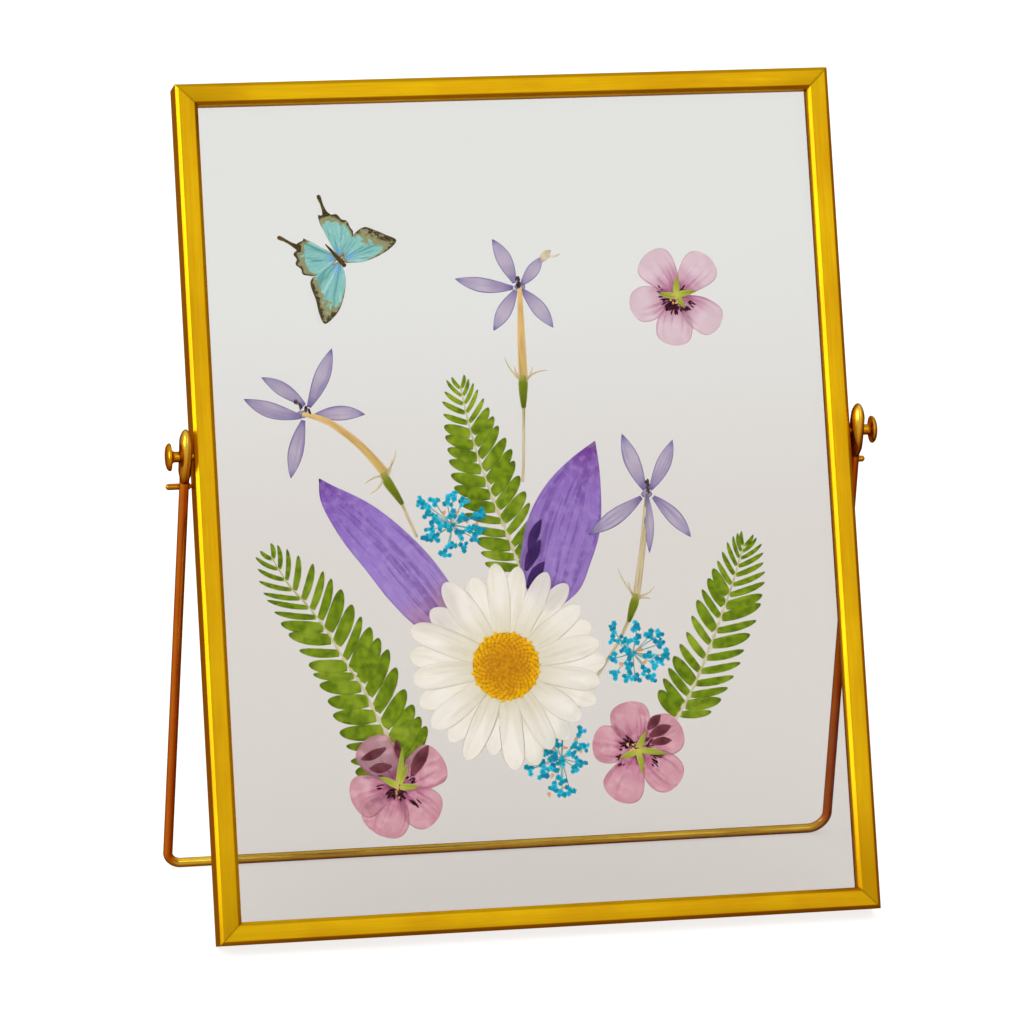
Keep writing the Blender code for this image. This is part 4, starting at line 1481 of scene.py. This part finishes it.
@dataclass
class FernFrond:
    """Frond with pairs of leaflets that reach a margin on each side of a pale midrib."""

    name: str
    rachis: tuple[Point, ...]
    left_margin: tuple[Point, ...]
    right_margin: tuple[Point, ...]
    left_heading: tuple[float, float]
    right_heading: tuple[float, float]
    left_pairs: int
    right_pairs: int
    seed: int
    merge_from: float = 0.35

    def reach(self, root: Vector, heading: float, margin: Sequence[Point]) -> float:
        """Distance from a root to the margin in a direction.

        Args:
            root: Where the leaflet starts.
            heading: Its direction in degrees.
            margin: The frond's edge on that side.

        Returns:
            Millimetres, or a modest length where the margin isn't met.
        """
        far = Vector(polar((root.x, root.y), heading, 30.0))
        nearest = 30.0
        for first, second in zip(margin, margin[1:]):
            hit = intersect_line_line_2d(root, far, Vector(first), Vector(second))
            if hit is not None:
                nearest = min(nearest, (hit - root).length)
        return nearest if nearest < 25.0 else 3.6

    def side(self, work: Patchwork, path: Sequence[Vector], margin: Sequence[Point],
             headings: tuple[float, float],
             pairs: int, depth: float, draw: random.Random, turn: float) -> None:
        """Add one side's leaflets."""
        count = len(path) - 1
        merged = False
        for index in range(pairs):
            share = ((index + 0.35) / pairs) ** 1.10
            place = share * count
            step = min(int(place), count - 1)
            root = path[step].lerp(path[step + 1], place - step)
            run = (path[step] - path[step + 1]).normalized()
            ahead = math.degrees(math.atan2(run.y, run.x))
            settled = headings[0] + (headings[1] - headings[0]) * share
            if turn > 0.0:
                settled = settled if settled > ahead else settled + 360.0
            easing = min(share / 0.2, 1.0)
            heading = (ahead + 24.0 * turn) * (1.0 - easing) + settled * easing + draw.uniform(-2.0, 2.0)
            length = self.reach(root, heading, margin)
            pitch = (path[0] - path[-1]).length * 1.12 / pairs * max(share, 0.08) ** 0.12
            slant = abs(math.sin(math.radians(heading - ahead)))
            if share > self.merge_from and draw.random() < 0.36:
                merged = not merged
            fullness = 1.24 if merged else (0.70 if share < self.merge_from else 0.82)
            half_width = max(0.48, pitch * max(slant, 0.6) * fullness / 2.0)
            tip = polar((root.x, root.y), heading, length * draw.uniform(0.96, 1.0))
            start = polar((root.x, root.y), heading + 18.0 * turn, 0.25)
            bend = (0.07 + 0.10 * (1.0 - easing)) * turn
            blade(work, bow(start, tip, bend), lambda part: half_width * Outline.LEAFLET.width(part),
                  depth + (0.03 if index % 2 else -0.01), 0, draw.random(), rows=14, columns=7, crown=0.04,
                  ripple=0.01)

    def build(self, space: FrameSpace, leaf: Material, rib: Material) -> None:
        """Build the frond in its layer and dress it."""
        draw = random.Random(self.seed)
        depth = space.layer(self.name)
        path = spline(self.rachis, 10)
        work = Patchwork()
        self.side(work, path, self.left_margin, self.left_heading, self.left_pairs, depth, draw, 1.0)
        self.side(work, path, self.right_margin, self.right_heading, self.right_pairs, depth, draw, -1.0)
        stations = []
        for index, point in enumerate(path):
            share = index / (len(path) - 1)
            knot = 0.30 * max(0.0, math.sin(share * math.pi * 2.0 * self.left_pairs)) ** 2
            stations.append((point.x, point.y, 0.10 + 0.13 * share + knot * (0.35 + share)))
        round_stem(work, stations, depth - 0.03, 1, 0.5, flatness=0.25, thickest=0.08, steps=3)
        piece = work.build(self.name + "_pressed", space.matrix(), [leaf, rib], thickness=0.05, crease=60.0)
        finish_piece(piece, "frame", "fern_leaf", [self.name])


@dataclass
class LaceFlower:
    """Umbel of dyed florets: tight clusters on hair-fine rays, with some pale buds between."""

    name: str
    root: Point
    hubs: tuple[Point, ...]
    buds: tuple[Point, ...]
    seed: int

    def build(self, space: FrameSpace, finishes: Sequence[Material]) -> None:
        """Build the umbel in its layer and dress it in floret, ray and bud finishes."""
        draw = random.Random(self.seed)
        depth = space.layer(self.name)
        work = Patchwork()
        for hub in self.hubs:
            blade(work, bow(self.root, hub, draw.uniform(-0.08, 0.08)), lambda part: 0.16 - 0.06 * part,
                  depth + 0.05, 1, draw.random(), rows=10, columns=3)
            turn = draw.uniform(0.0, 360.0)
            for step in range(5):
                spot = polar(hub, turn + 130.0 * step + draw.uniform(-25.0, 25.0), 0.2 + 0.24 * step)
                size = draw.uniform(0.55, 0.85)
                pad(work, spot, (size, size * draw.uniform(0.7, 1.0)),
                    depth - 0.02 + draw.uniform(-0.03, 0.03), 0,
                    draw.random(), draw.uniform(0.0, 180.0), rise=0.06, lobes=5, lobe_depth=0.22, sides=25,
                    rings=3)
        for bud in self.buds:
            pad(work, bud, (draw.uniform(0.5, 0.8), draw.uniform(0.35, 0.5)), depth + 0.01, 2, draw.random(),
                draw.uniform(0.0, 180.0), rise=0.05, lobes=3, lobe_depth=0.2, sides=14, rings=3)
        piece = work.build(self.name + "_pressed", space.matrix(), finishes, thickness=0.04, crease=60.0)
        finish_piece(piece, "frame", "blue_floret", [self.name])


@dataclass
class Wing:
    """One wing: where it joins the body, its margin, and how wide its dark border is."""

    root: Point
    margin: tuple[Point, ...]
    borders: tuple[float, ...]
    scallop: float = 0.0
    tail: tuple[Station, ...] = ()


@dataclass
class Butterfly:
    """Small butterfly laid flat, with two tailed hind wings."""

    wings: tuple[Wing, ...]
    body: tuple[Station, ...]
    head: Point
    side_border: float = 1.0

    def add_wing(self, work: Patchwork, wing: Wing, depth: float, tone: float) -> None:
        """Add a wing as a fan from its root to its margin."""
        edge = spline([(*point, border) for point, border in zip(wing.margin, wing.borders)], 10)
        margin_length = sum(math.hypot(after.x - before.x, after.y - before.y)
                            for before, after in zip(edge, edge[1:]))
        rings = 26
        rows = []
        for ring in range(rings + 1):
            share = (ring / rings) ** 0.8
            row = []
            for index, point in enumerate(edge):
                around = index / (len(edge) - 1)
                lobed = 1.0 + wing.scallop * (math.sin(around * math.pi * 15.0) - 0.3) * share ** 6
                u = wing.root[0] + (point.x - wing.root[0]) * share * lobed
                v = wing.root[1] + (point.y - wing.root[1]) * share * lobed
                border = max(point.z, 0.03)
                closeness = (share - (1.0 - border)) / border
                sideways = 1.0 - min(around, 1.0 - around) * share * margin_length / self.side_border
                place = Vector((u, v, depth - 0.03 * math.sin(math.pi * share)))
                row.append(Mark(place, share, max(closeness, sideways, -1.5), share * 12.0, around * 9.0,
                                tone))
            rows.append(row)
        work.add_rows(rows)
        if wing.tail:
            path = spline(wing.tail, 8)
            half = len(path) - 1

            def along(part: float) -> Vector:
                """Place on the tail's centre line, with its half width as the third value."""
                place = min(max(part, 0.0), 1.0) * half
                step = min(int(place), half - 1)
                return path[step].lerp(path[step + 1], place - step)

            blade(work, lambda part: along(part).to_2d(), lambda part: along(part).z, depth - 0.01, 1, tone,
                  rows=22, columns=5)

    def build(self, space: FrameSpace) -> None:
        """Build the butterfly in its layer and dress it."""
        depth = space.layer("butterfly")
        draw = random.Random(5)
        work = Patchwork()
        for index, wing in enumerate(self.wings):
            self.add_wing(work, wing, depth + (0.05 if index < 2 else 0.0), draw.random())
        round_stem(work, self.body, depth - 0.02, 1, 0.4, flatness=0.4, thickest=0.13, steps=8)
        pad(work, self.head, (0.5, 0.42), depth - 0.02, 1, 0.2, 45.0, rise=0.1, sides=14)
        dark = TinyFloret(name="butterfly_body_hair",
                          ramp=((0.0, "#3a3014"), (0.5, "#564618"), (1.0, "#6b5a26")),
                          heart="#463812").make()
        piece = work.build("butterfly_pressed", space.matrix(), [WingScales().make(), dark], thickness=0.05,
                           crease=60.0)
        finish_piece(piece, "frame", "butterfly_wing", ["butterfly"])


STAR_FLOWERS = (
    StarFlower(
        name="star_flower_top", seed=21,
        petals=(Petal((0.5, 151.3), (-4.3, 161.9), -0.06, 0.95),
                Petal((0.1, 150.2), (-13.7, 152.8), 0.07, 0.92),
                Petal((0.7, 149.6), (-5.2, 140.2), 0.0, 0.92), Petal((2.2, 149.6), (9.1, 140.4), 0.05, 0.92),
                Petal((2.0, 150.8), (7.4, 157.4), -0.05, 0.78)),
        tube=((1.7, 150.4, 0.35), (1.6, 148.4, 0.6), (1.3, 138.0, 0.95), (1.2, 129.5, 1.1),
              (1.1, 127.9, 1.0)),
        calyx=((1.2, 129.4, 0.7), (1.1, 127.4, 1.1), (0.95, 124.0, 0.85), (0.9, 121.7, 0.5)),
        stem=((0.9, 122.2, 0.36), (0.5, 115.0, 0.30), (0.0, 108.0, 0.30), (-0.4, 104.3, 0.32)),
        sepals=(((0.6, 128.2), (-3.0, 134.0), 0.16), ((1.7, 128.2), (7.3, 130.3), 0.24),
                ((0.5, 128.0), (-0.8, 131.6), 0.10), ((1.8, 127.8), (3.6, 131.4), -0.10)),
        stamens=((1.1, 152.3, 0.95), (1.3, 150.9, 0.85)),
        dried=(((6.9, 156.0), (9.6, 158.8), 0.10, 1.0), ((8.3, 157.6), (11.8, 157.9), -0.25, 0.26)),
    ),
    StarFlower(
        name="star_flower_left", seed=22,
        petals=(Petal((-50.0, 123.8), (-43.8, 137.4), -0.04, 0.98),
                Petal((-49.0, 121.6), (-36.8, 121.6), 0.09, 0.92),
                Petal((-51.4, 120.8), (-55.1, 107.3), -0.03, 0.95),
                Petal((-51.8, 121.6), (-65.1, 126.3), 0.09, 0.98),
                Petal((-50.9, 124.3), (-60.7, 131.2), -0.06, 0.86)),
        tube=((-51.6, 122.2, 0.4), (-49.6, 121.8, 0.65), (-44.8, 119.7, 0.8), (-38.4, 114.4, 0.95),
              (-33.4, 108.4, 1.1), (-32.7, 106.8, 1.0)),
        calyx=((-33.4, 107.8, 0.7), (-32.3, 105.4, 1.1), (-30.6, 102.6, 0.85), (-29.2, 100.2, 0.5)),
        stem=((-29.4, 100.6, 0.36), (-27.8, 96.4, 0.32), (-26.2, 92.3, 0.32)),
        sepals=(((-33.6, 107.0), (-37.8, 105.2), -0.22), ((-33.0, 107.4), (-30.0, 113.4), -0.20),
                ((-33.2, 106.8), (-37.0, 102.8), 0.24), ((-32.4, 106.6), (-31.2, 111.0), -0.14)),
        stamens=((-53.0, 124.8, 0.75), (-51.9, 124.1, 0.7), (-50.8, 123.4, 0.7), (-49.9, 122.8, 0.6)),
    ),
    StarFlower(
        name="star_flower_right", seed=23, over_tube=1, pale_tube=True,
        petals=(Petal((28.7, 101.2), (24.0, 114.7), 0.03, 1.0),
                Petal((30.0, 101.2), (36.1, 112.8), -0.06, 0.92),
                Petal((30.6, 99.5), (39.1, 89.6), 0.06, 0.92), Petal((27.8, 99.5), (14.5, 91.2), 0.03, 1.0),
                Petal((29.1, 100.2), (28.9, 86.2), 0.03, 0.62)),
        tube=((29.1, 100.2, 0.4), (28.8, 97.6, 0.6), (27.4, 88.0, 0.7), (25.4, 77.6, 0.85),
              (25.0, 75.8, 0.9)),
        calyx=((25.2, 76.8, 0.7), (24.5, 74.6, 1.05), (23.6, 72.2, 0.8), (22.9, 70.3, 0.45)),
        stem=((22.95, 70.8, 0.36), (20.4, 66.0, 0.32), (17.1, 61.4, 0.32), (11.5, 53.5, 0.32),
              (7.4, 48.3, 0.32)),
        sepals=(((24.6, 76.4), (21.0, 83.2), 0.10), ((25.6, 76.2), (29.6, 78.4), -0.24),
                ((24.4, 75.8), (23.4, 80.0), 0.06), ((25.6, 75.6), (28.6, 75.4), 0.20)),
        stamens=((29.3, 103.4, 0.8), (29.5, 102.0, 0.75), (29.4, 100.7, 0.7)),
    ),
)

ROUND_FLOWERS = (
    RoundFlower(
        name="pink_flower_top", centre=(39.2, 147.0), seed=31, pollen=(38.6, 145.4),
        petals=((124.0, 12.2, 9.0), (46.0, 12.3, 8.8), (323.0, 12.6, 8.4), (262.0, 11.9, 9.0),
                (193.0, 11.6, 8.4)),
        sepals=((83.0, 4.9), (10.0, 5.0), (170.0, 4.4), (300.0, 3.6)),
        strokes=((32.0, 1.5, 1.1, 16), (247.0, 2.6, 1.6, 26), (215.0, 2.4, 1.3, 14), (168.0, 3.8, 0.9, 9),
                 (319.0, 3.6, 1.1, 14), (285.0, 3.2, 0.9, 9)),
    ),
    RoundFlower(
        name="pink_flower_left", centre=(-34.1, 34.5), seed=32, pollen=(-34.0, 33.4),
        petals=((195.0, 11.3, 9.8), (244.0, 12.0, 11.4), (319.0, 12.0, 9.8), (30.0, 12.6, 10.2),
                (121.0, 13.2, 9.4)),
        sepals=((80.0, 9.4), (150.0, 5.0), (358.0, 5.2), (62.0, 6.0)),
        strokes=((225.0, 1.8, 1.3, 22), (300.0, 1.6, 1.3, 18), (165.0, 3.4, 1.2, 9), (30.0, 3.2, 1.2, 9),
                 (303.0, 4.6, 1.6, 5)),
        # Painted shadows of the fern leaflets behind this flower.
        leaf_shadows=(((-36.4, 43.6), (-42.4, 41.2), 1.1), ((-35.2, 39.4), (-40.6, 39.0), 1.2),
                  ((-30.6, 36.8), (-26.2, 43.8), 1.5), ((-33.0, 40.6), (-33.8, 45.6), 0.8)),
    ),
    RoundFlower(
        name="pink_flower_right", centre=(23.1, 40.1), seed=33, pollen=(22.2, 41.2),
        petals=((99.0, 11.6, 9.6), (167.0, 10.8, 9.0), (244.0, 12.8, 9.6), (318.0, 12.6, 9.4),
                (25.0, 12.0, 9.8)),
        sepals=((62.0, 5.0), (200.0, 4.6), (278.0, 5.6), (350.0, 7.2)),
        strokes=((140.0, 2.6, 1.3, 20), (165.0, 3.6, 1.0, 10), (205.0, 4.4, 1.0, 8), (338.0, 4.4, 1.4, 12),
                 (30.0, 2.8, 1.2, 9)),
        # Painted shadows of the fern leaflets behind this flower.
        leaf_shadows=(((26.2, 43.2), (31.6, 45.4), 1.3), ((26.4, 41.6), (31.6, 42.0), 1.0),
                  ((26.0, 44.8), (29.2, 48.2), 1.2), ((25.4, 39.6), (29.4, 38.4), 0.8)),
    ),
)

LOOSE_PETALS = (
    LoosePetal(
        name="petal_left", tone=0.31,
        stations=((-48.4, 107.0, 0.15), (-45.6, 102.4, 3.0), (-39.8, 96.2, 5.5), (-33.4, 89.2, 6.6),
                  (-27.6, 81.8, 7.0), (-22.2, 74.6, 5.8), (-18.0, 69.6, 1.6)),
        finish=DriedPetal(
            name="pressed_violet_petal_left",
            ramp=((0.0, "#c98a62"), (0.14, "#cda2b8"), (0.30, "#bba2dc"), (0.6, "#b396dc"), (0.88, "#a074cc"),
                  (0.96, "#8040a8"), (1.0, "#581080")),
            edge="#b298d8", vein="#8656b4", edge_width=0.06, vein_spacing=0.8, vein_strength=0.6,
            vein_at_tip=1.0, blotch="#ccb6ea", blotch_strength=0.5, clearness=0.3, relief=0.05,
        ),
    ),
    LoosePetal(
        name="petal_right", tone=0.77,
        stations=((17.5, 113.2, 0.15), (14.8, 107.6, 3.8), (11.7, 100.8, 7.0), (9.1, 94.0, 8.6),
                  (6.7, 87.0, 8.4), (4.9, 80.2, 7.0), (3.0, 73.8, 1.8)),
        # Painted shadows of the fern leaflets behind this petal.
        leaf_shadows=(((-0.6, 79.2), (3.8, 85.4), 1.4), ((-0.8, 83.4), (3.2, 90.6), 1.4),
                  ((0.2, 88.0), (3.6, 95.4), 1.2)),
        finish=DriedPetal(
            name="pressed_violet_petal_right",
            ramp=((0.0, "#b092d0"), (0.3, "#b698da"), (0.7, "#ae8cd4"), (0.92, "#9658b4"), (1.0, "#680e54")),
            edge="#b094d4", vein="#8454b0", edge_width=0.06, vein_spacing=0.8, vein_strength=0.6,
            vein_at_tip=1.0, blotch="#c8b0e6", blotch_strength=0.5, clearness=0.3, relief=0.05,
        ),
    ),
)

FERN_FRONDS = (
    FernFrond(
        name="fern_left", seed=41, left_pairs=19, right_pairs=18, merge_from=0.30,
        rachis=((-60.6, 89.4), (-56.8, 82.6), (-52.3, 77.1), (-48.3, 71.2), (-44.4, 63.9), (-40.9, 58.1),
                (-37.5, 50.3), (-34.1, 43.0), (-32.5, 37.4)),
        left_margin=((-64.4, 91.0), (-63.6, 82.0), (-59.4, 74.0), (-54.8, 66.6), (-50.1, 57.1), (-47.4, 49.3),
                     (-45.1, 42.0), (-42.0, 34.0)),
        right_margin=((-61.8, 93.0), (-57.4, 91.4), (-50.6, 87.4), (-44.6, 81.5), (-38.4, 72.0),
                      (-33.9, 66.6),
                      (-31.2, 57.6), (-28.8, 53.0), (-25.0, 45.6), (-24.0, 38.0)),
        left_heading=(165.0, 183.0), right_heading=(78.0, 52.0),
    ),
    FernFrond(
        name="fern_centre", seed=42, left_pairs=17, right_pairs=17, merge_from=0.26,
        rachis=((-13.7, 127.4), (-12.5, 119.8), (-10.4, 110.4), (-7.5, 100.6), (-4.2, 90.8), (-1.6, 82.6)),
        left_margin=((-16.8, 129.6), (-18.4, 124.0), (-18.2, 117.0), (-17.4, 108.0), (-16.3, 101.0),
                     (-12.6, 93.0), (-10.6, 86.0), (-8.0, 79.0)),
        right_margin=((-13.0, 130.4), (-10.3, 128.0), (-7.2, 122.2), (-4.7, 117.2), (-2.2, 111.6),
                      (-0.3, 104.2), (1.6, 98.2), (3.8, 92.0), (4.6, 84.0)),
        left_heading=(158.0, 172.0), right_heading=(58.0, 46.0),
    ),
    FernFrond(
        name="fern_right", seed=47, left_pairs=17, right_pairs=17, merge_from=0.30,
        rachis=((52.0, 87.4), (50.4, 83.1), (48.4, 77.7), (45.8, 71.7), (42.7, 64.6), (39.3, 57.5),
                (36.0, 51.5), (33.0, 46.8)),
        left_margin=((51.4, 90.6), (48.4, 89.0), (44.4, 82.4), (39.8, 75.0), (36.8, 67.6), (33.4, 62.0),
                     (31.0, 57.6), (28.0, 51.4), (26.8, 45.0)),
        right_margin=((53.6, 90.4), (56.4, 87.6), (56.8, 80.0), (55.4, 73.0), (53.6, 68.6), (48.2, 56.9),
                      (44.6, 51.3), (37.4, 43.8)),
        left_heading=(112.0, 128.0), right_heading=(24.0, 2.0),
    ),
)

LACE_FLOWERS = (
    LaceFlower(
        name="lace_flower_upper", seed=51, root=(-17.9, 94.8),
        hubs=((-24.9, 100.7), (-24.0, 99.6), (-21.6, 100.4), (-18.6, 100.4), (-17.2, 101.6), (-14.9, 100.2),
              (-23.5, 97.6), (-21.6, 96.2), (-17.6, 97.2), (-20.4, 94.8), (-18.4, 94.4), (-15.4, 96.6),
              (-12.2, 96.4), (-10.8, 97.6), (-22.9, 94.0), (-13.4, 93.8), (-11.2, 93.4), (-24.0, 92.0),
              (-22.0, 92.4), (-15.9, 92.8), (-18.5, 90.0), (-15.6, 89.6), (-12.6, 91.4), (-19.9, 88.2)),
        buds=((-16.4, 97.6), (-14.2, 95.6), (-19.6, 97.8), (-12.0, 94.9)),
    ),
    LaceFlower(
        name="lace_flower_right", seed=52, root=(23.4, 63.0),
        hubs=((18.9, 68.9), (24.7, 69.2), (18.9, 66.4), (21.6, 66.0), (24.4, 66.0), (27.5, 66.8),
              (30.0, 67.0), (29.9, 64.8), (21.4, 63.8), (18.6, 61.8), (22.8, 62.4), (27.1, 62.2),
              (31.2, 62.0), (30.0, 61.0), (22.1, 59.9), (18.9, 58.4), (21.6, 57.4), (26.2, 58.8),
              (27.5, 57.0), (23.6, 57.2), (28.3, 60.0)),
        buds=((25.2, 63.6), (26.0, 60.6), (20.4, 60.4)),
    ),
    LaceFlower(
        name="lace_flower_lower", seed=53, root=(5.2, 39.2),
        hubs=((6.1, 47.0), (5.6, 45.0), (10.2, 45.2), (2.2, 43.4), (4.0, 42.6), (8.5, 42.0),
              (10.8, 41.8), (1.6, 40.6), (3.4, 39.6), (5.2, 38.4), (0.0, 38.2), (-2.6, 37.0),
              (8.2, 36.9), (9.8, 37.8), (2.6, 37.0), (0.6, 35.4), (4.8, 33.8), (2.6, 32.4),
              (4.4, 31.0), (6.6, 31.4), (7.8, 40.0)),
        buds=((6.0, 41.6), (2.6, 35.2), (0.3, 40.0), (9.6, 40.6), (4.9, 32.2), (1.6, 30.9), (8.8, 43.4),
              (-1.2, 39.4), (3.2, 41.2)),
    ),
)

BUTTERFLY = Butterfly(
    head=(-39.8, 156.8),
    body=((-44.0, 161.9, 0.10), (-42.9, 160.6, 0.30), (-41.6, 159.0, 0.42), (-40.4, 157.6, 0.55),
          (-39.8, 156.8, 0.35)),
    wings=(
        Wing(root=(-40.9, 158.4), scallop=0.03,
             margin=((-42.2, 160.8), (-43.8, 164.2), (-45.3, 167.6), (-45.0, 168.9), (-43.4, 169.6),
                     (-41.2, 168.8), (-39.2, 167.6), (-37.7, 165.8), (-37.4, 163.2), (-39.0, 159.9)),
             borders=(0.12, 0.14, 0.17, 0.20, 0.20, 0.17, 0.16, 0.15, 0.13, 0.10),
             tail=((-43.4, 168.4, 0.90), (-44.0, 170.2, 0.42), (-44.5, 171.8, 0.36), (-44.9, 173.0, 0.50),
                   (-45.1, 173.6, 0.30))),
        Wing(root=(-40.9, 158.4), scallop=0.03,
             margin=((-43.4, 160.2), (-47.9, 162.9), (-49.5, 163.2), (-50.9, 161.5), (-51.4, 159.6),
                     (-51.1, 157.6), (-50.0, 155.6), (-48.2, 154.4), (-45.2, 155.3), (-42.6, 157.2)),
             borders=(0.10, 0.12, 0.15, 0.20, 0.20, 0.19, 0.18, 0.16, 0.13, 0.10),
             tail=((-49.6, 160.8, 0.90), (-51.8, 162.1, 0.42), (-53.4, 163.1, 0.36), (-54.6, 163.7, 0.50),
                   (-55.2, 163.95, 0.3))),
        Wing(root=(-40.6, 158.0),
             margin=((-39.7, 159.4), (-37.7, 163.4), (-34.9, 165.6), (-32.4, 165.0), (-29.6, 163.7),
                     (-27.2, 162.4), (-28.5, 160.6), (-31.7, 158.7), (-35.4, 157.5), (-39.2, 157.3)),
             borders=(0.07, 0.10, 0.26, 0.32, 0.34, 0.28, 0.18, 0.12, 0.10, 0.08)),
        Wing(root=(-40.8, 157.9),
             margin=((-40.2, 156.6), (-39.7, 154.0), (-40.0, 150.6), (-41.3, 146.8), (-43.2, 144.4),
                     (-45.2, 143.2), (-46.3, 145.4), (-46.9, 148.6), (-48.0, 153.2), (-45.4, 155.3),
                     (-42.2, 157.3)),
             borders=(0.07, 0.08, 0.09, 0.12, 0.22, 0.30, 0.32, 0.28, 0.18, 0.12, 0.08)),
    ),
)


# Studio


@dataclass(frozen=True)
class SoftLight:
    """A square soft light aimed at the frame."""

    name: str
    heading: float
    height: float
    distance: float
    size: float
    radiance: float

    def build(self, target: Vector) -> None:
        """Add the light: heading 0 is in front and 90 to the right; its radiance sets its power."""
        turn, rise = math.radians(self.heading), math.radians(self.height)
        way = Vector((math.sin(turn) * math.cos(rise), -math.cos(turn) * math.cos(rise), math.sin(rise)))
        data = bpy.data.lights.new(self.name, "AREA")
        data.shape = "SQUARE"
        data.size = self.size
        data.energy = self.radiance * math.pi * self.size ** 2
        light = bpy.data.objects.new(self.name, data)
        light.location = target + way * self.distance
        light.rotation_mode = "QUATERNION"
        light.rotation_quaternion = way.to_track_quat("Z", "Y")
        bpy.context.scene.collection.objects.link(light)


@dataclass
class Studio:
    """White floor, soft lights, a room that is bright above left and warm and dark below right, a camera."""

    floor_size: float = 14.0
    room: Ramp = ((0.0, "#4a1c0c"), (0.30, "#a87a4c"), (0.52, "#c4b6a6"), (1.0, "#eaeae8"))
    room_key: tuple[float, float, float] = (-0.45, -0.35, 0.82)
    sky_irradiance: float = 2.0
    lights: tuple[SoftLight, ...] = (
        SoftLight("front_softbox", 16.0, 30.0, 1.9, 1.1, 0.60),
        SoftLight("left_softbox", -78.0, 16.0, 1.4, 0.8, 2.8),
    )
    target: tuple[float, float, float] = (-0.008856, -0.028768, 0.100353)
    yaw: float = -10.851
    elevation: float = 14.167
    roll: float = 0.253
    distance: float = 1.1605
    lens: float = 178.75

    def floor(self) -> None:
        """Lay the sweep that the frame stands on."""
        half = self.floor_size / 2.0
        mesh = bpy.data.meshes.new("floor")
        mesh.from_pydata([(-half, -half, 0.0), (half, -half, 0.0), (half, half, 0.0), (-half, half, 0.0)], [],
                         [(0, 1, 2, 3)])
        mesh.materials.append(WhiteSweep().make())
        sweep = bpy.data.objects.new("floor", mesh)
        sweep.visible_glossy = False
        bpy.context.scene.collection.objects.link(sweep)

    def sky(self) -> None:
        """Add the broad light from above, which lights the floor evenly and leaves no glint."""
        data = bpy.data.lights.new("ceiling_bounce", "SUN")
        data.energy = self.sky_irradiance
        data.angle = math.radians(110.0)
        light = bpy.data.objects.new("ceiling_bounce", data)
        light.rotation_euler = (math.radians(12.0), math.radians(-10.0), 0.0)
        light.visible_glossy = False
        bpy.context.scene.collection.objects.link(light)

    def surroundings(self) -> bpy.types.World:
        """Make the room that the metal mirrors, shaded from one side to the other."""
        world = bpy.data.worlds.new("studio")
        world.use_nodes = True
        tree = world.node_tree
        way = add_node(tree, "ShaderNodeTexCoord").outputs["Generated"]
        side = add_node(tree, "ShaderNodeVectorMath", {"operation": "DOT_PRODUCT", 1: self.room_key},
                        {0: way})
        share = add_node(tree, "ShaderNodeMapRange", {1: -1.0, 2: 1.0}, {0: side.outputs["Value"]})
        shade = add_node(tree, "ShaderNodeValToRGB", {"ramp": self.room}, {0: share.outputs[0]})
        tree.links.new(shade.outputs[0], tree.nodes["Background"].inputs["Color"])
        return world

    def camera(self) -> None:
        """Set the camera up."""
        yaw, rise = math.radians(self.yaw), math.radians(self.elevation)
        away = Vector((math.sin(yaw) * math.cos(rise), -math.cos(yaw) * math.cos(rise), math.sin(rise)))
        data = bpy.data.cameras.new("camera")
        data.sensor_width = 36.0
        data.lens = self.lens
        data.clip_start = 0.05
        data.clip_end = 50.0
        camera = bpy.data.objects.new("camera", data)
        camera.location = Vector(self.target) + away * self.distance
        right = (-away).cross(Vector((0.0, 0.0, 1.0))).normalized()
        up = right.cross(-away)
        level = Matrix((right, up, away)).transposed()
        camera.rotation_mode = "QUATERNION"
        camera.rotation_quaternion = (level @ Matrix.Rotation(math.radians(self.roll), 3,
                                                              "Z")).to_quaternion()
        bpy.context.scene.collection.objects.link(camera)
        bpy.context.scene.camera = camera

    def build(self) -> None:
        """Build the whole studio."""
        scene = bpy.context.scene
        scene.view_settings.view_transform = "Standard"
        scene.world = self.surroundings()
        self.floor()
        self.sky()
        for light in self.lights:
            light.build(Vector((0.0, 0.0, 0.09)))
        self.camera()


def main() -> None:
    """Build the studio, the holder and every specimen."""
    logging.basicConfig(level=logging.INFO, format="%(name)s: %(message)s")
    space = FrameSpace.from_record(frame["record"])
    Studio().build()
    MetalFrame(space).build()
    GlassPanes(space).build()
    TurnedPins(space).build()
    WireStand().build()
    finishes = SpecimenFinishes.make()
    for flower in STAR_FLOWERS:
        flower.build(space, finishes)
    for blossom in ROUND_FLOWERS:
        pale = blossom.name == "pink_flower_top"
        blossom.build(space, finishes, finishes.blush if pale else finishes.pink)
    Daisy().build(space)
    for petal in LOOSE_PETALS:
        petal.build(space)
    leaf = FernBlade().make()
    rib = DriedStem(name="pressed_fern_midrib", ramp=((0.0, "#c8c88a"), (0.4, "#dcd4ac"), (1.0, "#e2dabc")),
                    edge="#c9c79a", fibre_spacing=0.25).make()
    for frond in FERN_FRONDS:
        frond.build(space, leaf, rib)
    floret = TinyFloret(name="dyed_blue_floret", ramp=((0.0, "#0c8cbc"), (0.35, "#10a6b8"), (0.7, "#18c2e2"),
                                                      (1.0, "#38d8f4")), heart="#0c82ae").make()
    ray = DriedStem(name="dyed_flower_ray", ramp=((0.0, "#d8c0a8"), (0.35, "#8cbcb8"), (1.0, "#2aa6ba")),
                    edge="#6fb0b0", fibre_spacing=0.2).make()
    bud = TinyFloret(name="dried_peach_bud", ramp=((0.0, "#f0a884"), (0.5, "#e8b48c"), (1.0, "#d99a60")),
                     heart="#f2c09c").make()
    for umbel in LACE_FLOWERS:
        umbel.build(space, [floret, ray, bud])
    BUTTERFLY.build(space)


if __name__ == "__main__":
    main()
